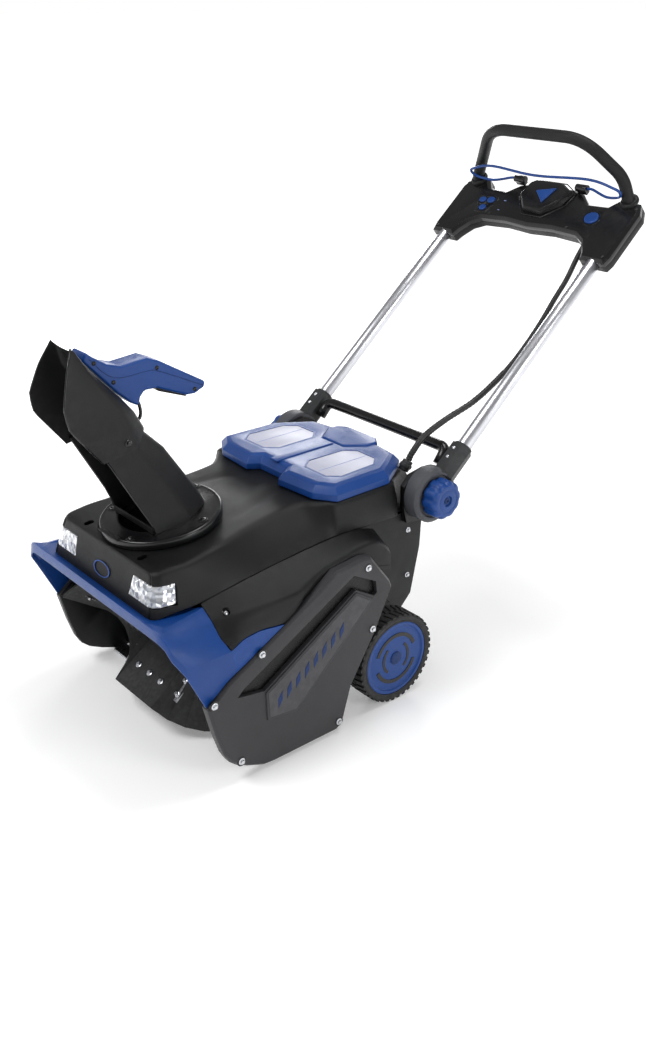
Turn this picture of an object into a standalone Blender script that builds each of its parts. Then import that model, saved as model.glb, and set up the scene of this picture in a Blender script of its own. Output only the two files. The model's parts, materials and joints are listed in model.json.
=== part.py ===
"""Walk-behind battery snow blower, one named object for each physical piece.

Metres. Every shape is laid out in the machine frame: -Y is the auger mouth, +X the
operator's left, +Z up, and z = 0 is the ground. A root empty then centres the machine in Y.
"""
import math

import bmesh
import bpy
from mathutils import Matrix, Vector

for existing in list(bpy.data.objects):
    bpy.data.objects.remove(existing, do_unlink=True)

# ---------------------------------------------------------------- driving dimensions
CLEARING_WIDTH = 0.457          # 18 in between the side plates
GAP = 0.0003                    # between pieces that touch
WALL = 0.003                    # moulded wall
CENTRE_Y = 0.300                # middle of the machine's length in its own frame

PLATE_IN = CLEARING_WIDTH / 2
PLATE_OUT = 0.247
PLAQUE_OUT = 0.250

AUGER_AXIS = (-0.085, 0.118)    # y, z
AUGER_RADIUS = 0.104
DRUM_RADIUS = 0.109
SHAFT_RADIUS = 0.008

WHEEL_AXIS = (0.224, 0.084)
WHEEL_RADIUS = 0.084
WHEEL_HUB_RADIUS = 0.069
WHEEL_IN = 0.193
WHEEL_OUT = 0.238
AXLE_RADIUS = 0.006

PIVOT = (0.340, 0.353)          # handle pivot, y, z
HANDLE_ANGLE = math.radians(40.4)
TUBE_X = 0.193
TUBE_RADIUS = 0.0135
HUB_RADIUS = 0.050
HUB_IN = 0.1765
HUB_OUT = 0.2085
KNOB_RADIUS = 0.036
KNOB_OUT = 0.238

RING_CENTRE = (-0.0948, 0.3746)
RING_TILT = math.radians(7.4)
RING_RADIUS = 0.1027
RING_HALF = 0.0077

MOTOR_AXIS = (0.088, 0.222)
MOTOR_PULLEY_RADIUS = 0.012
AUGER_PULLEY_RADIUS = 0.048

# ---------------------------------------------------------------- materials


def material(name, colour, roughness, metallic=0.0):
    mat = bpy.data.materials.new(name)
    mat.use_nodes = True
    shader = mat.node_tree.nodes["Principled BSDF"]
    shader.inputs["Base Color"].default_value = (*colour, 1.0)
    shader.inputs["Roughness"].default_value = roughness
    shader.inputs["Metallic"].default_value = metallic
    return mat


BLACK = (0.018, 0.018, 0.020)
BLUE = (0.030, 0.070, 0.350)


def black_plastic(name):
    return material(name + "_black", BLACK, 0.38)


def blue_plastic(name):
    return material(name + "_blue", BLUE, 0.35)


def rubber(name):
    return material(name + "_rubber", (0.020, 0.020, 0.020), 0.8)


def steel(name):
    return material(name + "_steel", (0.55, 0.56, 0.58), 0.3, 1.0)


def grey_plastic(name):
    return material(name + "_grey", (0.09, 0.10, 0.10), 0.5)


# ---------------------------------------------------------------- frames


def frame_empty(name, parent, location, tilt=0.0):
    empty = bpy.data.objects.new(name, None)
    bpy.context.collection.objects.link(empty)
    empty.parent = parent
    empty.location = location
    empty.rotation_euler = (tilt, 0.0, 0.0)
    return empty


machine = frame_empty("machine_frame", None, (0.0, -CENTRE_Y, 0.0))
handle_frame = frame_empty("handle_frame", machine, (0.0, *PIVOT), HANDLE_ANGLE)
chute_frame = frame_empty("chute_frame", machine, (0.0, *RING_CENTRE), RING_TILT)
auger_frame = frame_empty("auger_frame", machine, (0.0, *AUGER_AXIS))
wheel_frame = frame_empty("wheel_frame", machine, (0.0, *WHEEL_AXIS))
motor_frame = frame_empty("motor_frame", machine, (0.0, *MOTOR_AXIS))

# ---------------------------------------------------------------- shape helpers


def finish_object(name, bm, mat, parent, smooth=0.0):
    bmesh.ops.recalc_face_normals(bm, faces=bm.faces)
    mesh = bpy.data.meshes.new(name)
    bm.to_mesh(mesh)
    bm.free()
    if mat:
        mesh.materials.append(mat)
    if smooth:
        mesh.shade_smooth()
        mesh.set_sharp_from_angle(angle=math.radians(smooth))
    obj = bpy.data.objects.new(name, mesh)
    bpy.context.collection.objects.link(obj)
    obj.parent = parent
    return obj


def loft(name, rings, mat, parent=machine, closed=False, smooth=0.0, shell=False):
    """Skin equal rings of points in order, and cap the ends unless the row is closed.

    A shell's ring runs along its outer face and back along its inner face, so its ends are
    capped with a strip of quads.
    """
    bm = bmesh.new()
    rows = [[bm.verts.new(point) for point in ring] for ring in rings]
    count = len(rows[0])
    pairs = list(zip(rows, rows[1:]))
    if closed:
        pairs.append((rows[-1], rows[0]))
    for low, high in pairs:
        for i in range(count):
            j = (i + 1) % count
            bm.faces.new((low[i], low[j], high[j], high[i]))
    for row in () if closed else (rows[0], rows[-1]):
        if shell:
            for i in range(count // 2 - 1):
                bm.faces.new((row[i], row[i + 1], row[count - 2 - i], row[count - 1 - i]))
        else:
            bm.faces.new(row)
    if shell:
        bmesh.ops.triangulate(bm, faces=bm.faces)
    return finish_object(name, bm, mat, parent, smooth)


def on_axis(axis, along, a, b):
    """Place outline point (a, b) at a distance along an axis."""
    if axis == "X":
        return (along, a, b)
    if axis == "Y":
        return (a, along, b)
    return (a, b, along)


def prism(name, outline, axis, low, high, mat, parent=machine, smooth=0.0):
    rings = [[on_axis(axis, along, a, b) for a, b in outline] for along in (low, high)]
    return loft(name, rings, mat, parent, smooth=smooth)


def inset(outline, distance):
    """Move every side of a counter-clockwise or clockwise outline inwards."""
    area = sum(a[0] * b[1] - b[0] * a[1] for a, b in zip(outline, outline[1:] + outline[:1]))
    turn = 1.0 if area > 0 else -1.0
    moved = []
    for i, point in enumerate(outline):
        before = Vector(outline[i - 1])
        here = Vector(point)
        after = Vector(outline[(i + 1) % len(outline)])
        side_in = (here - before).normalized()
        side_out = (after - here).normalized()
        normal_in = Vector((-side_in.y, side_in.x)) * turn
        normal_out = Vector((-side_out.y, side_out.x)) * turn
        bisector = (normal_in + normal_out).normalized()
        reach = distance / max(0.3, bisector.dot(normal_in))
        moved.append(tuple(here + bisector * reach))
    return moved


def stepped_prism(name, outline, axis, levels, mat, parent=machine, smooth=0.0):
    """A prism whose outline is drawn in by the given inset at each level."""
    rings = []
    for along, distance in levels:
        shape = inset(outline, distance) if distance else outline
        rings.append([on_axis(axis, along, a, b) for a, b in shape])
    return loft(name, rings, mat, parent, smooth=smooth)


def turned(name, profile, mat, parent, axis="X", centre=(0.0, 0.0), steps=28, smooth=35.0):
    """Turn a closed profile of (along, radius) round an axis."""
    rings = []
    for k in range(steps):
        angle = math.tau * k / steps
        ring = []
        for along, radius in profile:
            a = centre[0] + radius * math.cos(angle)
            b = centre[1] + radius * math.sin(angle)
            ring.append(on_axis(axis, along, a, b))
        rings.append(ring)
    return loft(name, rings, mat, parent, closed=True, smooth=smooth)


def rod(name, radius, low, high, mat, parent, axis="X", centre=(0.0, 0.0), steps=24):
    outline = circle(radius, steps, centre)
    return prism(name, outline, axis, low, high, mat, parent, smooth=35.0)


def sleeve(name, outer, inner, low, high, mat, parent, axis="X", centre=(0.0, 0.0), steps=28):
    profile = [(low, inner), (low, outer), (high, outer), (high, inner)]
    return turned(name, profile, mat, parent, axis, centre, steps)


def circle(radius, steps, centre=(0.0, 0.0), start=0.0, sweep=math.tau):
    closed = abs(sweep - math.tau) < 1e-9
    count = steps if closed else steps + 1
    points = []
    for k in range(count):
        angle = start + sweep * k / steps
        points.append((centre[0] + radius * math.cos(angle), centre[1] + radius * math.sin(angle)))
    return points


def box(name, low, high, mat, parent=machine):
    outline = [(low[0], low[1]), (high[0], low[1]), (high[0], high[1]), (low[0], high[1])]
    return prism(name, outline, "Z", low[2], high[2], mat, parent)


def as_tool(obj):
    obj.hide_render = True
    obj.display_type = "WIRE"
    return obj


def boolean(target, tool, operation):
    modifier = target.modifiers.new(tool.name, "BOOLEAN")
    modifier.operation = operation
    modifier.object = as_tool(tool)
    return target


def cut(target, *tools):
    for tool in tools:
        boolean(target, tool, "DIFFERENCE")
    return target


def add(target, *tools):
    for tool in tools:
        boolean(target, tool, "UNION")
    return target


def chamfer(obj, width, segments=1, angle=30.0):
    modifier = obj.modifiers.new("edge", "BEVEL")
    modifier.width = width
    modifier.segments = segments
    modifier.limit_method = "ANGLE"
    modifier.angle_limit = math.radians(angle)
    modifier.use_clamp_overlap = True
    return obj


def rounded_path(corners, radius, steps=6):
    """Straight runs between corners, each inner corner turned on an arc-like curve."""
    points = [Vector(corners[0])]
    for before, here, after in zip(corners, corners[1:], corners[2:]):
        here = Vector(here)
        back = Vector(before) - here
        ahead = Vector(after) - here
        reach = min(radius, back.length / 2.05, ahead.length / 2.05)
        start = here + back.normalized() * reach
        end = here + ahead.normalized() * reach
        for k in range(steps + 1):
            s = k / steps
            points.append(start * (1 - s) ** 2 + here * 2 * s * (1 - s) + end * s ** 2)
    points.append(Vector(corners[-1]))
    return points


def smooth_route(knots, steps):
    """Catmull-Rom curve through hand-chosen points."""
    knots = [Vector(knot) for knot in knots]
    padded = [knots[0] * 2 - knots[1], *knots, knots[-1] * 2 - knots[-2]]
    points = []
    for a, b, c, d in zip(padded, padded[1:], padded[2:], padded[3:]):
        for k in range(steps):
            s = k / steps
            points.append(0.5 * (2 * b + (c - a) * s + (2 * a - 5 * b + 4 * c - d) * s ** 2
                                 + (3 * b - a - 3 * c + d) * s ** 3))
    points.append(knots[-1])
    return points


def tube(name, points, radius, mat, parent, resolution=3):
    curve = bpy.data.curves.new(name, "CURVE")
    curve.dimensions = "3D"
    curve.bevel_depth = radius
    curve.bevel_resolution = resolution
    curve.use_fill_caps = True
    spline = curve.splines.new("POLY")
    spline.points.add(len(points) - 1)
    for target, point in zip(spline.points, points):
        target.co = (*point, 1.0)
    curve.materials.append(mat)
    obj = bpy.data.objects.new(name, curve)
    bpy.context.collection.objects.link(obj)
    obj.parent = parent
    return obj


SIDES = (("left", 1), ("right", -1))

# ---------------------------------------------------------------- side plates

PLATE_OUTLINE = [
    (-0.180, 0.155), (-0.166, 0.100), (-0.153, 0.061), (-0.143, 0.043), (-0.128, 0.030),
    (-0.104, 0.018), (-0.076, 0.007), (-0.055, 0.005), (0.077, 0.005), (0.091, 0.012),
    (0.112, 0.080), (0.167, 0.167), (0.202, 0.239), (0.197, 0.252), (0.154, 0.309),
    (0.137, 0.312), (0.078, 0.306), (0.058, 0.292), (-0.015, 0.253), (-0.067, 0.225),
    (-0.139, 0.187),
]
PLATE_POCKET = [
    (-0.125, 0.156), (-0.113, 0.167), (0.115, 0.288), (0.163, 0.262), (0.166, 0.240),
    (0.1595, 0.236), (0.119, 0.2605), (-0.0725, 0.147),
]
PLAQUE_OUTLINE = [
    (-0.070, 0.092), (-0.072, 0.144), (0.118, 0.257), (0.156, 0.232), (0.095, 0.177),
    (-0.010, 0.085),
]
PLATE_BOLTS = [(-0.169, 0.160), (-0.076, 0.215), (0.146, 0.292), (0.157, 0.173), (0.082, 0.021),
               (-0.122, 0.037)]
BELT_BAY_IN = 0.2318


def belt_outline(margin):
    """Two circles joined by straight runs, round both pulleys."""
    big = circle(AUGER_PULLEY_RADIUS + margin, 14, AUGER_AXIS, math.radians(125), math.radians(195))
    small = circle(MOTOR_PULLEY_RADIUS + margin, 8, MOTOR_AXIS, math.radians(-40),
                   math.radians(165))
    return big + small


def make_side_plates():
    for side, sign in SIDES:
        low = PLATE_IN if sign > 0 else BELT_BAY_IN
        name = "side_plate_left" if sign > 0 else "drive_cover_right"
        levels = [(sign * low, 0.0), (sign * (PLATE_OUT - 0.004), 0.0), (sign * PLATE_OUT, 0.004)]
        plate = stepped_prism(name, PLATE_OUTLINE, "X", levels, black_plastic(name))
        pocket = prism("pocket_" + side, PLATE_POCKET, "X", sign * 0.239, sign * 0.26, None)
        cut(plate, pocket)
        shaft_hole = rod("shaft_recess_" + side, 0.012, sign * 0.20, sign * 0.2365, None,
                         auger_frame)
        cut(plate, shaft_hole)
        if sign < 0:
            bay = prism("belt_bay", belt_outline(0.006), "X", -0.225, -0.2455, None)
            cut(plate, bay)
        plaque = stepped_prism("plaque_" + side, PLAQUE_OUTLINE, "X",
                               [(sign * (PLATE_OUT - 0.002), 0.0), (sign * 0.249, 0.0),
                                (sign * PLAQUE_OUT, 0.001)], None)
        add(plate, plaque)
    wall = prism("side_plate_right", inset(PLATE_OUTLINE, 0.001), "X", -PLATE_IN,
                 -(BELT_BAY_IN - GAP), black_plastic("side_plate_right"))
    cut(wall, rod("wall_shaft_hole", 0.0125, -0.22, -0.24, None, auger_frame))
    cut(wall, rod("wall_motor_hole", 0.008, -0.22, -0.24, None, motor_frame))


make_side_plates()

# ---------------------------------------------------------------- auger housing


def arc_sheet(radius, thickness, start, end, steps):
    outer = circle(radius + thickness, steps, AUGER_AXIS, start, end - start)
    return outer, circle(radius, steps, AUGER_AXIS, start, end - start)


ROOF_Z = 0.262
CHEEK_HALF = 0.2003


def make_auger_housing():
    """Curved drum wall behind the auger, a roof over it and the throat up to the chute."""
    outer, inner = arc_sheet(DRUM_RADIUS, WALL, math.radians(-72), math.radians(25), 9)
    outer.append((0.026, 0.2005))
    inner.append((0.023, 0.2005))
    half = PLATE_IN - GAP
    drum = prism("auger_housing", outer + inner[::-1], "X", -half, half,
                 black_plastic("auger_housing"), smooth=40)
    roof = [(0.026, 0.190), (0.022, 0.240), (0.006, ROOF_Z + WALL), (-0.205, ROOF_Z + WALL),
            (-0.205, ROOF_Z), (0.004, ROOF_Z), (0.019, 0.239), (0.023, 0.190)]
    throat = sleeve("throat", 0.0905, 0.0875, -0.112, -0.012, None, chute_frame, "Z")
    hole = rod("throat_hole", 0.0875, -0.16, 0.0, None, chute_frame, "Z")
    add(drum, prism("roof", roof, "X", -CHEEK_HALF, CHEEK_HALF, None), throat)
    cut(drum, hole)
    lip = [(-0.080, 0.004), (-0.052, 0.004), (-0.052, 0.0085), (-0.080, 0.0085)]
    bar = prism("scraper_bar", lip, "X", -half, half, steel("scraper_bar"))
    bar.data.name = bar.name


make_auger_housing()

# ---------------------------------------------------------------- auger


def twisted_blade(name, low, high, start, twist, steps, mat):
    """A flat rubber blade through the shaft, twisted along it, on a sleeve."""
    rings = []
    half = 0.0035
    for k in range(steps + 1):
        s = k / steps
        x = low + (high - low) * s
        angle = start + twist * s
        along = Vector((math.cos(angle), math.sin(angle)))
        across = Vector((-along.y, along.x))
        corners = [(-1, -1), (1, -1), (1, 1), (-1, 1)]
        ring = []
        for a, b in corners:
            point = along * (AUGER_RADIUS * a) + across * (half * b)
            ring.append((x, point.x, point.y))
        rings.append(ring)
    blade = loft(name, rings, mat, auger_frame, smooth=50)
    core = rod(name + "_core", 0.016, low, high, None, auger_frame, steps=12)
    bore = rod(name + "_bore", SHAFT_RADIUS + GAP, min(low, high) - 0.01, max(low, high) + 0.01,
               None, auger_frame, steps=12)
    add(blade, core)
    return cut(blade, bore)


def make_auger():
    start = math.radians(35)
    twist = math.radians(120)
    twisted_blade("auger_flight_left", 0.058, 0.216, start, twist, 8, rubber("flight_left"))
    twisted_blade("auger_flight_right", -0.058, -0.216, start, twist, 8, rubber("flight_right"))
    twisted_blade("auger_centre_paddle", -0.0575, 0.0575, start, 0.0, 1, rubber("centre_paddle"))
    rod("auger_shaft", SHAFT_RADIUS, -0.2445, 0.2345, steel("auger_shaft"), auger_frame)
    pulley = [(-0.2335, SHAFT_RADIUS + GAP), (-0.2335, AUGER_PULLEY_RADIUS),
              (-0.2350, AUGER_PULLEY_RADIUS), (-0.2370, AUGER_PULLEY_RADIUS - 0.004),
              (-0.2410, AUGER_PULLEY_RADIUS - 0.004), (-0.2430, AUGER_PULLEY_RADIUS),
              (-0.2445, AUGER_PULLEY_RADIUS), (-0.2445, SHAFT_RADIUS + GAP)]
    turned("auger_pulley", pulley, material("auger_pulley", (0.3, 0.3, 0.32), 0.4, 1.0),
           auger_frame, steps=28)
    for side, sign in SIDES:
        sleeve("auger_bearing_" + side, 0.0117, SHAFT_RADIUS + GAP, sign * 0.2205, sign * 0.2283,
               steel("auger_bearing_" + side), auger_frame)


make_auger()

# ---------------------------------------------------------------- drive


def make_drive():
    rod("motor", 0.040, -0.160, -0.060, material("motor", (0.12, 0.12, 0.13), 0.4, 0.8),
        motor_frame)
    pulley = rod("motor_pulley", 0.005, -0.2445, -0.1605, steel("motor_pulley"), motor_frame)
    rim = sleeve("pulley_rim", 0.0115, 0.002, -0.2440, -0.2340, None, motor_frame, steps=20)
    add(pulley, rim)
    belt = prism("drive_belt", belt_outline(0.0035), "X", -0.2405, -0.2375, rubber("drive_belt"))
    cut(belt, prism("belt_inside", belt_outline(0.0006), "X", -0.25, -0.23, None))


make_drive()

# ---------------------------------------------------------------- front hood


def shell_ring(outer, thickness, drop):
    """Close a polyline into a thin band: drop moves each point to the inner face."""
    inner = [tuple(Vector(point) + Vector(drop) * thickness) for point in outer]
    return outer + inner[::-1]


def make_front_hood():
    thin = 0.0032
    rings = [
        ([(0.0, -0.236, 0.277), (0.0, -0.236, 0.2945), (0.0, -0.2195, 0.2865), (0.0, -0.160, 0.2865)],
         (0.0, 0.6, -1.0)),
        ([(0.161, -0.236, 0.277), (0.161, -0.236, 0.2945), (0.161, -0.2195, 0.2865),
          (0.161, -0.145, 0.2865)], (0.0, 0.6, -1.0)),
        ([(0.199, -0.2355, 0.276), (0.199, -0.2355, 0.2940), (0.190, -0.212, 0.2880),
          (0.1805, -0.1395, 0.2930)], (-0.1, 0.6, -1.0)),
        ([(0.215, -0.232, 0.269), (0.213, -0.232, 0.2840), (0.208, -0.203, 0.2810),
          (0.203, -0.1395, 0.2800)], (-0.7, 0.3, -0.7)),
        ([(0.229, -0.228, 0.253), (0.229, -0.226, 0.2640), (0.227, -0.190, 0.2600),
          (0.225, -0.1385, 0.2580)], (-0.8, 0.1, -0.6)),
        ([(0.2400, -0.213, 0.227), (0.2400, -0.209, 0.2360), (0.2410, -0.170, 0.2380),
          (0.2415, -0.1300, 0.2390)], (-1.0, 0.0, -0.1)),
        ([(0.2400, -0.1795, 0.1575), (0.2405, -0.1740, 0.1625), (0.2410, -0.139, 0.1890),
          (0.2415, -0.100, 0.2095)], (-1.0, 0.0, 0.0)),
    ]
    right = []
    for outer, drop in rings:
        right.append(shell_ring(outer, thin, drop))
    left = [[(-x, y, z) for x, y, z in ring] for ring in right[:0:-1]]
    hood = loft("front_hood", left + right, blue_plastic("front_hood"), smooth=25, shell=True)
    tail = [(-0.131, 0.2385), (-0.105, 0.251), (-0.075, 0.254), (-0.027, 0.2475),
            (-0.067, 0.2265), (-0.105, 0.2065), (-0.120, 0.2005)]
    for side, sign in SIDES:
        add(hood, prism("hood_tail_" + side, tail, "X", sign * 0.2384, sign * 0.2416, None))
    cut(hood, rod("hood_throat_gap", 0.0925, -0.16, 0.0, None, chute_frame, "Z", steps=28))
    return hood


make_front_hood()

# ---------------------------------------------------------------- cable route

CONDUIT_RADIUS = 0.0062
# x, y, z of the route, from the gland in the rear housing up to the console
CONDUIT_ROUTE = [
    (0.133, 0.343, 0.398), (0.135, 0.351, 0.412), (0.139, 0.375, 0.437), (0.145, 0.420, 0.459),
    (0.151, 0.487, 0.481), (0.155, 0.544, 0.511), (0.157, 0.588, 0.541), (0.157, 0.627, 0.573),
    (0.156, 0.662, 0.605), (0.154, 0.696, 0.639), (0.152, 0.730, 0.671), (0.150, 0.758, 0.706),
    (0.149, 0.778, 0.728),
]
route_start = Vector(CONDUIT_ROUTE[0])
route_way = (Vector(CONDUIT_ROUTE[1]) - route_start).normalized()
gland_frame = frame_empty("gland_frame", machine, route_start - route_way * 3 * GAP)
gland_frame.rotation_euler = route_way.to_track_quat("Z", "Y").to_euler()
route_end = Vector(CONDUIT_ROUTE[-1])
end_way = (route_end - Vector(CONDUIT_ROUTE[-2])).normalized()
entry_frame = frame_empty("entry_frame", machine, route_end)
entry_frame.rotation_euler = end_way.to_track_quat("Z", "Y").to_euler()

# ---------------------------------------------------------------- top cover and skirts

# y at the bottom, y at the top, wall x and z, deck edge x and z, height of the middle
COVER_STATIONS = [
    (-0.2180, -0.2010, 0.150, 0.287, 0.136, 0.354, 0.354),
    (-0.2060, -0.1880, 0.160, 0.288, 0.147, 0.357, 0.356),
    (-0.1380, -0.1380, 0.172, 0.297, 0.152, 0.360, 0.361),
    (-0.0700, -0.0700, 0.180, 0.312, 0.140, 0.366, 0.369),
    (-0.0060, -0.0060, 0.180, 0.320, 0.126, 0.371, 0.377),
    (0.0500, 0.0500, 0.180, 0.326, 0.121, 0.375, 0.379),
    (0.1000, 0.1000, 0.180, 0.330, 0.122, 0.380, 0.383),
    (0.1450, 0.1450, 0.180, 0.331, 0.172, 0.384, 0.384),
    (0.2650, 0.2650, 0.1795, 0.325, 0.170, 0.384, 0.384),
    (0.2900, 0.2900, 0.165, 0.322, 0.152, 0.384, 0.384),
    (0.3520, 0.3480, 0.160, 0.3185, 0.110, 0.382, 0.383),
]


def cover_ring(station, draw_in, drop, floor):
    """One closed section of the cover, drawn in for its inner face."""
    low_y, high_y, wall_x, wall_z, deck_x, deck_z, middle_z = station
    base = floor if floor is not None else wall_z
    wall = wall_x - draw_in
    deck = deck_x - draw_in
    right = [(wall, low_y, base), (deck, high_y, deck_z - drop),
             (deck * 0.55, high_y, middle_z - drop - 0.0005)]
    left = [(-x, y, z) for x, y, z in right[::-1]]
    return right + [(0.0, high_y, middle_z - drop)] + left


def make_top_cover():
    outer = [cover_ring(station, 0.0, 0.0, None) for station in COVER_STATIONS]
    cover = loft("top_cover", outer, black_plastic("top_cover"), smooth=28)
    inner = [cover_ring(station, WALL, WALL, 0.25) for station in COVER_STATIONS]
    first = [(x, y + 0.0045, z) for x, y, z in inner[0]]
    last = [(x, y - 0.0045, z) for x, y, z in inner[-1]]
    hollow = loft("cover_hollow", [first] + inner[1:-1] + [last], None)
    cut(cover, hollow)
    seat = sleeve("ring_seat", 0.099, 0.0700, -0.0135, -0.0085, None, chute_frame, "Z")
    clear = rod("ring_clear", 0.106, -0.0081, 0.03, None, chute_frame, "Z", steps=32)
    hole = rod("chute_hole", 0.0725, -0.10, 0.03, None, chute_frame, "Z")
    throat_gap = rod("throat_gap", 0.0925, -0.10, -0.0115, None, chute_frame, "Z", steps=28)
    bay = box("battery_opening", (-0.146, 0.152, 0.30), (0.146, 0.292, 0.40), None)
    add(cover, seat)
    cut(cover, clear, hole, throat_gap, bay)
    cut(cover, rod("gland_hole", 0.0103, -0.05, 0.02, None, gland_frame, "Z"))
    for side, sign in SIDES:
        window = headlight_block("lamp_opening_" + side, sign, 0.0005, 0.012, None)
        cut(cover, window)
    return cover


# y, crease z, edge z, edge x, foot z
SKIRT_STATIONS = [
    (-0.1350, 0.2970, 0.2835, 0.2400, 0.2420),
    (-0.1240, 0.2990, 0.2860, 0.2400, 0.2430),
    (-0.0700, 0.3110, 0.2870, 0.2400, 0.2350),
    (0.0040, 0.3205, 0.2885, 0.2400, 0.2400),
    (0.0260, 0.3225, 0.2893, 0.2277, 0.2500),
    (0.0640, 0.3260, 0.2900, 0.2277, 0.2600),
    (0.1440, 0.3300, 0.3090, 0.2277, 0.2600),
    (0.1800, 0.3270, 0.3250, 0.2277, 0.2300),
    (0.2150, 0.3200, 0.2960, 0.2277, 0.1950),
]


def cover_wall_x(y):
    stations = [(station[0], station[2]) for station in COVER_STATIONS]
    for (y0, x0), (y1, x1) in zip(stations, stations[1:]):
        if y0 <= y <= y1:
            return x0 + (x1 - x0) * (y - y0) / (y1 - y0)
    return stations[-1][1]


def make_side_skirts():
    for side, sign in SIDES:
        rings = []
        for y, crease_z, edge_z, edge_x, foot_z in SKIRT_STATIONS:
            crease_x = max(cover_wall_x(y), 0.1725) + 0.0006
            tuck_x = 0.2277
            outer = [(crease_x, crease_z + 0.0005), (edge_x, edge_z), (tuck_x, edge_z - 0.016),
                     (tuck_x, foot_z)]
            inner = [(tuck_x - 0.0028, foot_z), (tuck_x - 0.0028, edge_z - 0.0155),
                     (edge_x - 0.0045, edge_z - 0.002), (crease_x, crease_z - 0.003)]
            rings.append([(sign * x, y, z) for x, z in outer + inner])
        name = "side_skirt_" + side
        skirt = loft(name, rings, black_plastic(name), smooth=25, shell=True)
        skirt.data.name = skirt.name


def headlight_block(name, sign, gap, stand, mat):
    """A lamp that wraps the front corner of the cover and follows its lean.

    gap widens it all round, and stand pushes its face out, for the opening it sits in.
    """
    rings = []
    for z in (0.3035 - gap, 0.3360 + gap):
        rise = (z - 0.287) / 0.067
        front_y = -0.2180 + 0.017 * rise
        corner_y = -0.2060 + 0.018 * rise
        corner_x = 0.150 - 0.014 * rise
        side_x = 0.160 - 0.013 * rise
        inner_x = 0.0835 + 0.009 * rise - gap
        rear_y = corner_y + 0.030 - 0.010 * rise + gap
        back_y = -0.186 + gap
        outline = [
            (inner_x, front_y - stand),
            (corner_x + stand * 0.6, front_y - stand),
            (side_x + stand, corner_y - stand * 0.4),
            (side_x + 0.004 + stand, rear_y),
            (0.125, rear_y),
            (0.125, back_y),
            (inner_x, back_y),
        ]
        rings.append([(sign * x, y, z) for x, y in outline])
    return loft(name, rings, mat)


make_top_cover()
make_side_skirts()
for side, sign in SIDES:
    headlight_block("headlight_" + side, sign, 0.0, 0.0,
                    material("headlight_" + side, (0.8, 0.85, 0.9), 0.1))

# ---------------------------------------------------------------- rear housing and contents


def make_rear_housing():
    outline = [(0.045, 0.120), (0.280, 0.105), (0.325, 0.150), (0.345, 0.240), (0.350, 0.3180),
               (0.045, 0.3180)]
    name = "rear_housing"
    housing = prism(name, outline, "X", -0.165, 0.165, black_plastic(name))
    hollow = [(0.048, 0.1232), (0.2787, 0.1083), (0.3221, 0.1512), (0.342, 0.2402),
              (0.3472, 0.34), (0.048, 0.34)]
    cut(housing, prism("housing_hollow", hollow, "X", -0.162, 0.162, None))
    cut(housing, rod("motor_shaft_hole", 0.008, -0.19, -0.15, None, motor_frame))
    lug = [(0.196, 0.1120), (0.252, 0.1090), (0.240, 0.078), (0.232, 0.072), (0.216, 0.072),
           (0.208, 0.078)]
    for side, sign in SIDES:
        add(housing, prism("axle_lug_" + side, lug, "X", sign * 0.150, sign * 0.165, None))
    cut(housing, rod("axle_hole", AXLE_RADIUS + GAP, -0.17, 0.17, None, wheel_frame, steps=16))
    return housing


def make_contents():
    tray = box("battery_tray", (-0.150, 0.150, 0.280), (0.150, 0.294, 0.286),
               black_plastic("battery_tray"))
    wall = box("tray_rib", (-0.004, 0.150, 0.284), (0.004, 0.294, 0.330), None)
    add(tray, wall)
    for side, sign in SIDES:
        pack = box("battery_" + side, (0.020 * sign, 0.156, 0.2863), (0.140 * sign, 0.288, 0.3780),
                   material("battery_" + side, (0.05, 0.05, 0.055), 0.5))
        chamfer(pack, 0.006, 1, 60)
    box("controller_box", (-0.030, 0.180, 0.160), (0.100, 0.270, 0.215),
        material("controller_box", (0.25, 0.25, 0.27), 0.4, 0.8))


make_rear_housing()
make_contents()

# ---------------------------------------------------------------- battery lid

LID_BASE = 0.3845
LID_TOP = 0.410


def mirrored(half):
    """Close a right half outline, from front centre to rear centre, with its mirror."""
    return half + [(-x, y) for x, y in half[::-1] if x > 0]


LID_OUTLINE = mirrored([(0.031, 0.135), (0.046, 0.115), (0.131, 0.122), (0.168, 0.146),
                        (0.166, 0.265), (0.118, 0.335), (0.052, 0.345)])
WINDOW_OUTLINE = [(0.133, 0.185), (0.115, 0.165), (0.060, 0.165), (0.042, 0.186),
                  (0.043, 0.265), (0.062, 0.284), (0.109, 0.283), (0.128, 0.263)]
LATCH_OUTLINE = mirrored([(0.030, 0.276), (0.058, 0.314), (0.058, 0.336), (0.040, 0.350)])
LATCH_RECESS = mirrored([(0.030, 0.276), (0.058, 0.314), (0.058, 0.360)])
LATCH_HINGE = (0.2775, 0.4105)   # y, z
LATCH_FOOT = 0.3965
LID_HINGE = (0.1135, 0.3850)     # y, z
lid_frame = frame_empty("lid_frame", machine, (0.0, *LID_HINGE))


def lid_local(outline):
    return [(x, y - LID_HINGE[0]) for x, y in outline]


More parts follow.
